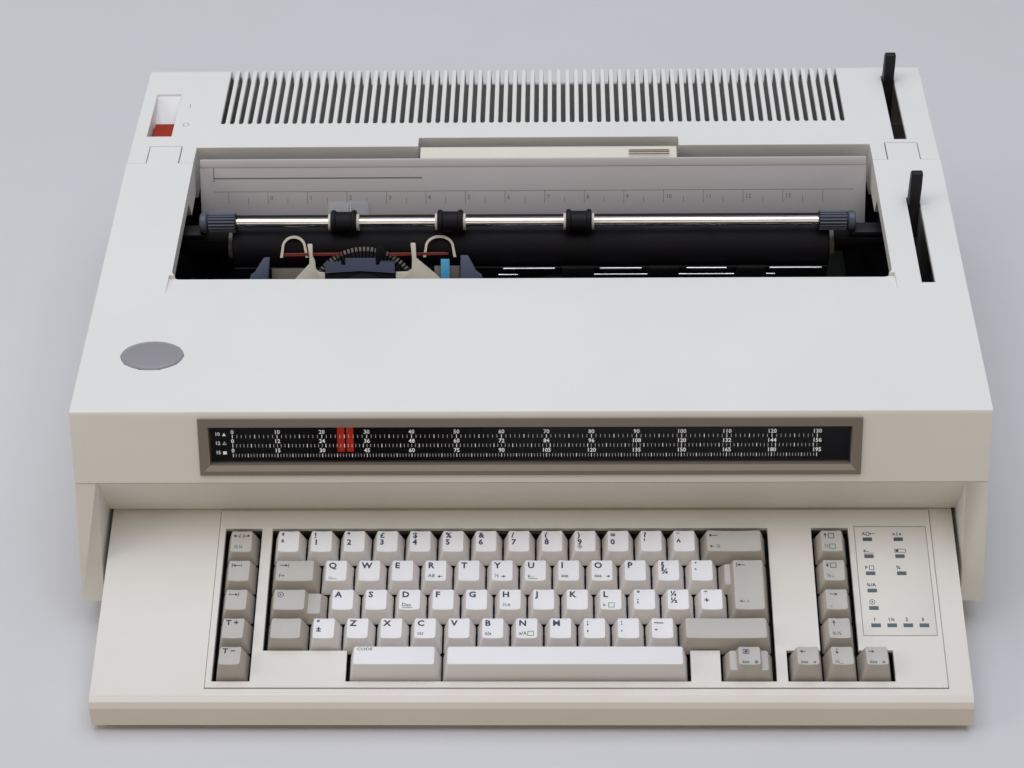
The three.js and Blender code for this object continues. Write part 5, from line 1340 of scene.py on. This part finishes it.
# ------------------------------------------------------------------ paper bail
class TYPEWRITER_OT_paper_bail(bpy.types.Operator):
    """Bail rod, its ribbed end caps, arms and rollers"""

    bl_idname = "typewriter.paper_bail"
    bl_label = "Paper Bail"

    def execute(self, context):
        r = paper_of().bail_rod_radius / MM
        parts = [(rod(-207, 201, BAIL_Y, BAIL_Z, r, 0.3, 40), 0)]
        for side in (-1, 1):
            parts += self.end(side)
        slate = plastic("cap_slate", (0.07, 0.08, 0.12), 0.35, specks=0.0)
        finished(joined(*parts), "bail_bar", "bail",
                 [chrome(), black_plastic(), slate], stands_for=("bail_rod",))
        for i, x in enumerate((-117, -50.5, 29.5), 1):
            wheel = turned(
                [(x - 8, 3.2), (x - 8, 6.6), (x - 7.5, 7.4), (x - 6.6, 7.7), (x - 5.2, 7.5), (x - 4.6, 6.6),
                 (x + 4.6, 6.6), (x + 5.2, 7.5), (x + 6.6, 7.7), (x + 7.5, 7.4), (x + 8, 6.6), (x + 8, 3.2),
                 (x - 8, 3.2)], BAIL_Y, BAIL_Z, 40)
            bush = turned([(x - 9.5, 3.2), (x - 9.5, 5.2), (x + 9.5, 5.2), (x + 9.5, 3.2), (x - 9.5, 3.2)],
                          BAIL_Y, BAIL_Z, 32)
            finished(joined((wheel, 0), (bush, 1)), f"bail_wheel_{i}", f"bail_roller_{i}",
                     [rubber(), cream()], stands_for=(f"bail_roller_{i}",))
        return {"FINISHED"}

    def end(self, side):
        """One ribbed cap with the arm that carries the rod."""
        ribs = paper_of().cap_ribs
        start = 184.3 if side < 0 else 178.3

        def across(a, b):
            return (side * a, side * b) if side > 0 else (side * b, side * a)

        def ring(a, b, r, edge):
            return rod(*across(a, b), BAIL_Y, BAIL_Z, r, edge, 40)

        core = ring(start, start + 18, 5.6, 0.3)
        ridges = []
        for i in range(ribs):
            a = math.tau * i / ribs
            y, z = BAIL_Y + 5.7 * math.cos(a), BAIL_Z + 5.7 * math.sin(a)
            ridges.append((rod(*across(start + 0.4, start + 17.2), y, z, 0.62, 0.3, 8), 2))
        smooth = ring(start + 18, start + 22.6, 6.2, 0.9)
        cheek = plate([(BAIL_Y - 3, BAIL_Z), (BAIL_Y + 3, BAIL_Z), (BAIL_Y + 5, 121), (BAIL_Y - 1, 121)],
                      *across(start + 20.4, start + 23.4), 0.4)
        shelf = block(*across(start + 20.4, 225.7), BAIL_Y - 2, BAIL_Y + 8, 120.5, 123.5, 0.5)
        arm = plate([(295.9, 120.5), (323, 120.5), (323, 95), (332, 95), (332, 121.5),
                     (330, 123.5), (295.9, 123.5)], *across(221.4, 225), 0.4)
        pin = rod(*across(221.4, 230.6), 327, 96, 3, 0.3)
        return [(core, 1), *ridges, (smooth, 2), (cheek, 1), (shelf, 1), (arm, 1), (pin, 1)]


class TYPEWRITER_OT_levers(bpy.types.Operator):
    """Bail lever and paper release lever with their grips"""

    bl_idname = "typewriter.levers"
    bl_label = "Levers"

    def execute(self, context):
        for node, name in (("bail_lever", "bail_grip"), ("release_lever", "release_grip")):
            shell(node, name, black_plastic(), 0.0011, shortest=1.2, angle=30)
        return {"FINISHED"}


class TYPEWRITER_OT_power_switch(bpy.types.Operator):
    """Power rocker with its notch and the printed marks beside it"""

    bl_idname = "typewriter.power_switch"
    bl_label = "Power Switch"

    def execute(self, context):
        orange = plastic("switch_orange", colours().switch, 0.4, drift=0.15, specks=0.0, depth=0.02,
                         specular=0.3)
        shell("power_switch", "power_rocker", orange, 0.0006, shortest=3.0)
        grey = plastic("mark_grey", (0.25, 0.25, 0.26), 0.5, specks=0.0)
        on_x, on_y = -227.0, 66.4
        corner_x, corner_y = -219.1, 84.8
        marks = [bar(on_x, on_y, 0.45, 4.2, 0.03), ring_mark(on_x, on_y - 22.1, 1.9, 0.4, 0.03, 24),
                 bar(corner_x - 4.7, corner_y, 9.5, 0.2, 0.02),
                 bar(corner_x, corner_y - 11, 0.2, 22, 0.02)]
        finished(merged(marks), "switch_marks", "machine", [grey], REAR_DECK)
        return {"FINISHED"}


# ------------------------------------------------------------------ carriage
WHEEL_S = -34.0
PETALS = 88


class TYPEWRITER_OT_carriage(bpy.types.Operator):
    """Carriage, print wheel, ribbon cartridge and guide rod"""

    bl_idname = "typewriter.carriage"
    bl_label = "Carriage"

    def execute(self, context):
        self.sledge()
        self.wheel()
        self.ribbon()
        shell("carriage_rod", "guide_rod", chrome(), 0.0004, shortest=1.0, angle=60)
        return {"FINISHED"}

    def sledge(self):
        """Guide block and motor under the cover, arms and card holders at the platen."""
        x = CARRIAGE_X
        slate = plastic("carriage_slate", (0.085, 0.1, 0.16), 0.42, specks=0.1)
        beige = plastic("carriage_beige", (0.16, 0.14, 0.11), 0.5, specks=0.2)
        blue = plastic("tab_blue", (0.08, 0.39, 0.68), 0.4, specks=0.0)
        dark = inner_black()
        body = merged([
            block(x - 48, x + 48, ROD_Y - 21, ROD_Y - 5.6, ROD_Z - 16, ROD_Z + 8, 0.8),
            block(x - 48, x + 48, ROD_Y + 5.6, ROD_Y + 15, ROD_Z - 16, ROD_Z + 8, 0.8),
            block(x - 47.5, x + 47.5, ROD_Y - 6, ROD_Y + 6, ROD_Z + 5.6, ROD_Z + 8, 0.4),
            block(x - 61.4, x + 70.6, ROD_Y + 5, ROD_Y + 27, ROD_Z + 13, ROD_Z + 16, 0.5),
            plate([(ROD_Y - 12, ROD_Z + 7), (ROD_Y + 14, ROD_Z + 7), (ROD_Y + 22, 91), (ROD_Y + 12, 98)],
                  x - 14, x + 14, 0.6)])
        finished(body, "guide_block", "carriage", [dark], stands_for=("carriage",))
        motor = spun([(0, 6), (19.2, 6), (20, 6.8), (20, 27.2), (19.2, 28), (0, 28)], x, WHEEL_S, 40)
        finished(motor, "wheel_motor", "carriage", [dark], WHEEL)
        comb = [(-128.5, -13.8), (-118, -13.0), (-106.9, -12.4), (-95.5, -13.0), (-85.2, -13.8)]
        steps = [(-85.2, -6.8), (-94.4, -6.8), (-94.4, -8.6), (-97.0, -8.6), (-97.0, -4.3),
                 (-115.8, -4.3), (-115.8, -8.6), (-118.8, -8.6), (-118.8, -6.8), (-128.5, -6.8)]
        left = [(-139.5, 4.0), (-138.9, 4.5), (-136.8, 4.5), (-136.3, 4.0), (-136.3, -3.3), (-135.0, -5.9),
                (-134.6, -11.1), (-132.5, -13.2), (-128.9, -13.4), (-128.9, -24), (-154.0, -24),
                (-147.2, -17.0), (-138.6, -7.9), (-138.4, -3.3)]
        right = [(-75.2, 4.4), (-74.7, 4.9), (-72.5, 4.9), (-72.0, 4.4), (-71.7, -4.5), (-59.8, -14.6),
                 (-54.0, -20.0), (-54.0, -24), (-84.7, -24), (-84.7, -13.2), (-76.6, -13.0), (-74.6, -11.0),
                 (-74.4, -4.5)]
        far_left = [(-166.7, -3.8), (-162.9, -3.6), (-164.1, -16.1), (-164.6, -30), (-180, -30),
                    (-175.0, -14.5), (-172.5, -12.6)]
        far_right = [(-44.0, -2.7), (-39.4, -2.9), (-34.4, -12.6), (-31.0, -15), (-28, -30),
                     (-44.6, -30), (-44.3, -16)]
        pointer = [(-97.0, -4.0), (-90.6, -4.0), (-90.6, 1.2), (-92.2, 3.4), (-95.4, 3.4), (-97.0, 1.2)]

        def sheet(x0, x1, y0, y1):
            return [(x0, y0), (x1, y0), (x1, y1), (x0, y1)]

        teeth = [(sheet(x0 + 0.6, x0 + 1.6, -7.0, -5.9), 6.1, 6.9, 0.0, 1)
                 for edge in (-128.3, -93.9) for x0 in (edge + i * 2.0 for i in range(5))]
        parts = [(slab(outline, z0, z1, edge), tone) for outline, z0, z1, edge, tone in (
            (comb + steps, 6.0, 7.0, 0.0, 1), *teeth,
            (sheet(-128.9, -84.8, -30, -13.0), 5.0, 5.9, 0.2, 4),
            (left[::-1], 4.4, 5.6, 0.25, 0), (right[::-1], 4.4, 5.6, 0.25, 0),
            (far_left, 5.0, 8.0, 0.4, 1), (far_right, 5.0, 8.0, 0.4, 1),
            (sheet(-162.4, -141.0, -28, -11.1), 3.0, 3.9, 0.2, 2),
            (sheet(-60.6, -44.8, -28, -9.8), 3.0, 3.9, 0.2, 2),
            (sheet(-56.4, -51.0, -22, -5.1), 6.2, 7.2, 0.2, 3),
            (pointer, 3.6, 4.4, 0.3, 4),
            (sheet(-166, -42, -27, -25.4), 3.0, 8.0, 0.3, 4))]
        finished(joined(*parts), "platen_side_arms", "carriage",
                 [cream(), slate, beige, blue, dark], WHEEL)
        self.holders()

    def holders(self):
        """Two loops that hold a card against the platen, bent round it to the radius bend."""
        bend, foot = 21.6, 23.04
        loops = []
        for x0, x1 in ((-156.4, -141.0), (-66.7, -48.3)):
            middle, half = (x0 + x1) / 2, (x1 - x0) / 2
            outer, inner = [], []
            for i in range(13):
                a = math.pi * i / 12
                outer.append((middle + half * math.cos(a), 1.5 + 7.2 * math.sin(a)))
                inner.append((middle + (half - 1.5) * math.cos(a), 1.5 + 5.6 * math.sin(a)))
            outer = [(x1 + 1.2, -5.0), *outer, (x0 - 1.2, -5.0)]
            inner = [(x0 + 0.6, -5.0), *inner[::-1], (x1 - 0.6, -5.0)]
            loop = slab(outer + inner, 0.0, 0.8, 0.0)
            for v in loop.verts:
                v.co.z -= foot - math.sqrt(max(0.0, bend ** 2 - v.co.y ** 2))
            loops.append(loop)
        finished(merged(loops), "card_holders", "carriage", [cream()], WHEEL)

    def wheel(self):
        """Print wheel: a hub with thin petals, each with a raised type at its tip."""
        x, y = CARRIAGE_X, WHEEL_S
        hub = spun([(0, 4.0), (10.4, 4.0), (11, 3.4), (11, 1.4), (14, 1.0), (14, 0.2), (0, 0.2)], x, y, 48)
        parts = [(hub, 0)]
        for i in range(PETALS):
            turn = Matrix.Translation((x, y, 0)) @ Matrix.Rotation(math.tau * i / PETALS, 4, "Z")
            petal = slab([(13.5, -0.4), (34.2, -0.75), (34.2, 0.75), (13.5, 0.4)], 0.4, 0.9)
            tip = slab([(33.4, -0.7), (35.9, -0.7), (35.9, 0.7), (33.4, 0.7)], 0.2, 1.15)
            bmesh.ops.transform(petal, matrix=turn, verts=petal.verts)
            bmesh.ops.transform(tip, matrix=turn, verts=tip.verts)
            parts += [(petal, 0), (tip, 1)]
        tip_tone = plastic("petal_tip", (0.22, 0.2, 0.17), 0.4, specks=0.0)
        finished(joined(*parts), "daisy_wheel", "print_wheel",
                 [black_plastic(), tip_tone], WHEEL, ("print_wheel",))

    def ribbon(self):
        """Ribbon cartridge with the ribbon led past the platen."""
        x = CARRIAGE_X
        red = plastic("ribbon_red", (0.19, 0.012, 0.008), 0.5, specks=0.0)
        case = block(x - 50, x + 50, ROD_Y - 48, ROD_Y + 3, ROD_Z + 46, ROD_Z + 59, 1.5, 3)
        finished(case, "ribbon_case", "carriage", [black_plastic()],
                 stands_for=("ribbon_cartridge",))
        parts = []
        for x0, x1 in ((-154.4, -118.2), (-88.9, -51.8)):
            band = [(x0, -3.6), (x1, -3.0), (x1, -1.4), (x0, -1.8)]
            edge = [(x0 + 0.3, -2.2), (x1 - 2.0, -1.9), (x1 - 2.0, -1.3), (x0 + 0.3, -1.5)]
            parts += [(slab(band, 2.4, 2.7), 0), (slab(edge, 2.72, 2.8), 1)]
        pale = plastic("ribbon_edge", (0.3, 0.06, 0.05), 0.4, specks=0.0)
        finished(joined(*parts), "ribbon_strip", "carriage", [red, pale], WHEEL)


class TYPEWRITER_OT_chassis(bpy.types.Operator):
    """Side frames, circuit board and power supply"""

    bl_idname = "typewriter.chassis"
    bl_label = "Chassis"

    def execute(self, context):
        # painted shade: the side frames take near black, darker than their beige-grey paint, for the shade
        # they sit in
        for side in ("left", "right"):
            shell(f"side_frame_{side}", f"frame_plate_{side}", inner_black(), 0.0003, segments=1,
                  shortest=3.0, angle=50)
        board = plastic("board_green", (0.008, 0.02, 0.01), 0.5, drift=0.5, specks=0.6, grain=900.0)
        shell("circuit_board", "logic_board", board, 0.0003, segments=1, shortest=2.0)
        grey = plastic("supply_grey", (0.02, 0.02, 0.022), 0.5, drift=0.4, specks=0.3)
        shell("power_supply", "supply_box", grey, 0.0005, segments=2, shortest=3.0)
        return {"FINISHED"}


# ------------------------------------------------------------------ stage
CAMERA_LENS = 75.2
CAMERA_PITCH, CAMERA_YAW, CAMERA_ROLL = math.radians(41.4), -0.02938, 0.02239
CAMERA_PLACE = (0.01697, (-769.0 - MIDDLE_Y) * MM, 0.93723)


class TYPEWRITER_OT_stage(bpy.types.Operator):
    """Pale floor, soft studio lights and the camera"""

    bl_idname = "typewriter.stage"
    bl_label = "Stage"

    def execute(self, context):
        scene = bpy.context.scene
        bm = bmesh.new()
        bmesh.ops.create_grid(bm, x_segments=1, y_segments=1, size=9.0)
        mesh = bpy.data.meshes.new("floor")
        bm.to_mesh(mesh)
        bm.free()
        floor = bpy.data.objects.new("floor", mesh)
        paper = plastic("floor_paper", (0.62, 0.62, 0.63), 0.8, drift=0.1, specks=0.0, depth=0.0)
        mesh.materials.append(paper)
        scene.collection.objects.link(floor)
        self.light("sky_panel", (0.0, 0.15, 2.4), 2.6, 51.0, (0.78, 0.85, 1.0))
        self.light("left_panel", (-2.2, -0.6, 1.6), 1.2, 12.0, (1.0, 0.95, 0.88))
        self.light("front_panel", (0.2, -2.4, 1.0), 1.6, 4.5, (1.0, 0.84, 0.64))
        world = bpy.data.worlds.new("studio")
        world.use_nodes = True
        world.node_tree.nodes["Background"].inputs["Color"].default_value = (1.0, 0.91, 0.79, 1)
        world.node_tree.nodes["Background"].inputs["Strength"].default_value = 0.28
        scene.world = world
        scene.view_settings.view_transform = "Standard"
        self.camera()
        return {"FINISHED"}

    def light(self, name, place, size, power, colour):
        """A square lamp that points at the machine."""
        lamp = bpy.data.lights.new(name, "AREA")
        lamp.size = size
        lamp.energy = power
        lamp.color = colour
        holder = bpy.data.objects.new(name, lamp)
        holder.location = place
        aim = Vector((0, 0, 0.08)) - Vector(place)
        holder.rotation_euler = aim.to_track_quat("-Z", "Y").to_euler()
        bpy.context.scene.collection.objects.link(holder)

    def camera(self):
        """Camera before the keyboard, which looks down at the machine."""
        lens = bpy.data.cameras.new("camera")
        lens.sensor_width = 36.0
        lens.lens = CAMERA_LENS
        lens.clip_start = 0.05
        holder = bpy.data.objects.new("camera", lens)
        pitch, yaw, roll = CAMERA_PITCH, CAMERA_YAW, CAMERA_ROLL
        level = math.cos(pitch)
        ahead = Vector((math.sin(yaw) * level, math.cos(yaw) * level, -math.sin(pitch)))
        right = Vector((math.cos(yaw), -math.sin(yaw), 0))
        down = ahead.cross(right)
        right_rolled = math.cos(roll) * right + math.sin(roll) * down
        down_rolled = -math.sin(roll) * right + math.cos(roll) * down
        place = Matrix((right_rolled, -down_rolled, -ahead)).transposed().to_4x4()
        place.translation = Vector(CAMERA_PLACE)
        holder.matrix_world = place
        bpy.context.scene.collection.objects.link(holder)
        bpy.context.scene.camera = holder


class TYPEWRITER_PT_pieces(bpy.types.Panel):
    """Lists the pieces of the typewriter and their sizes and colours"""

    bl_idname = "TYPEWRITER_PT_pieces"
    bl_label = "Typewriter"
    bl_space_type = "VIEW_3D"
    bl_region_type = "UI"
    bl_category = "Typewriter"

    def draw(self, context):
        layout = self.layout
        for settings in (context.scene.typewriter_body, context.scene.typewriter_keys,
                         context.scene.typewriter_paper, context.scene.typewriter_colours):
            column = layout.column()
            for name in settings.bl_rna.properties.keys():
                if name not in ("rna_type", "name"):
                    column.prop(settings, name)
        for piece in PIECES:
            layout.operator(piece.bl_idname)


SETTINGS = (
    ("typewriter_body", BodySizes), ("typewriter_keys", KeySizes),
    ("typewriter_paper", PaperSizes), ("typewriter_colours", FinishColours))
PIECES = (
    TYPEWRITER_OT_stage, TYPEWRITER_OT_housings, TYPEWRITER_OT_badge,
    TYPEWRITER_OT_position_window, TYPEWRITER_OT_keyboard_case, TYPEWRITER_OT_key_rows,
    TYPEWRITER_OT_command_keys, TYPEWRITER_OT_column_keys, TYPEWRITER_OT_paper_support,
    TYPEWRITER_OT_platen, TYPEWRITER_OT_paper_bail, TYPEWRITER_OT_levers,
    TYPEWRITER_OT_power_switch, TYPEWRITER_OT_carriage, TYPEWRITER_OT_chassis)


def register():
    for name, settings in SETTINGS:
        bpy.utils.register_class(settings)
        setattr(bpy.types.Scene, name, PointerProperty(type=settings))
    for piece in PIECES + (TYPEWRITER_PT_pieces,):
        bpy.utils.register_class(piece)


def unregister():
    for piece in (TYPEWRITER_PT_pieces,) + PIECES[::-1]:
        bpy.utils.unregister_class(piece)
    for name, settings in reversed(SETTINGS):
        delattr(bpy.types.Scene, name)
        bpy.utils.unregister_class(settings)


def main():
    register()
    for piece in PIECES:
        group, name = piece.bl_idname.split(".")
        getattr(getattr(bpy.ops, group), name)()


if __name__ == "__main__":
    main()
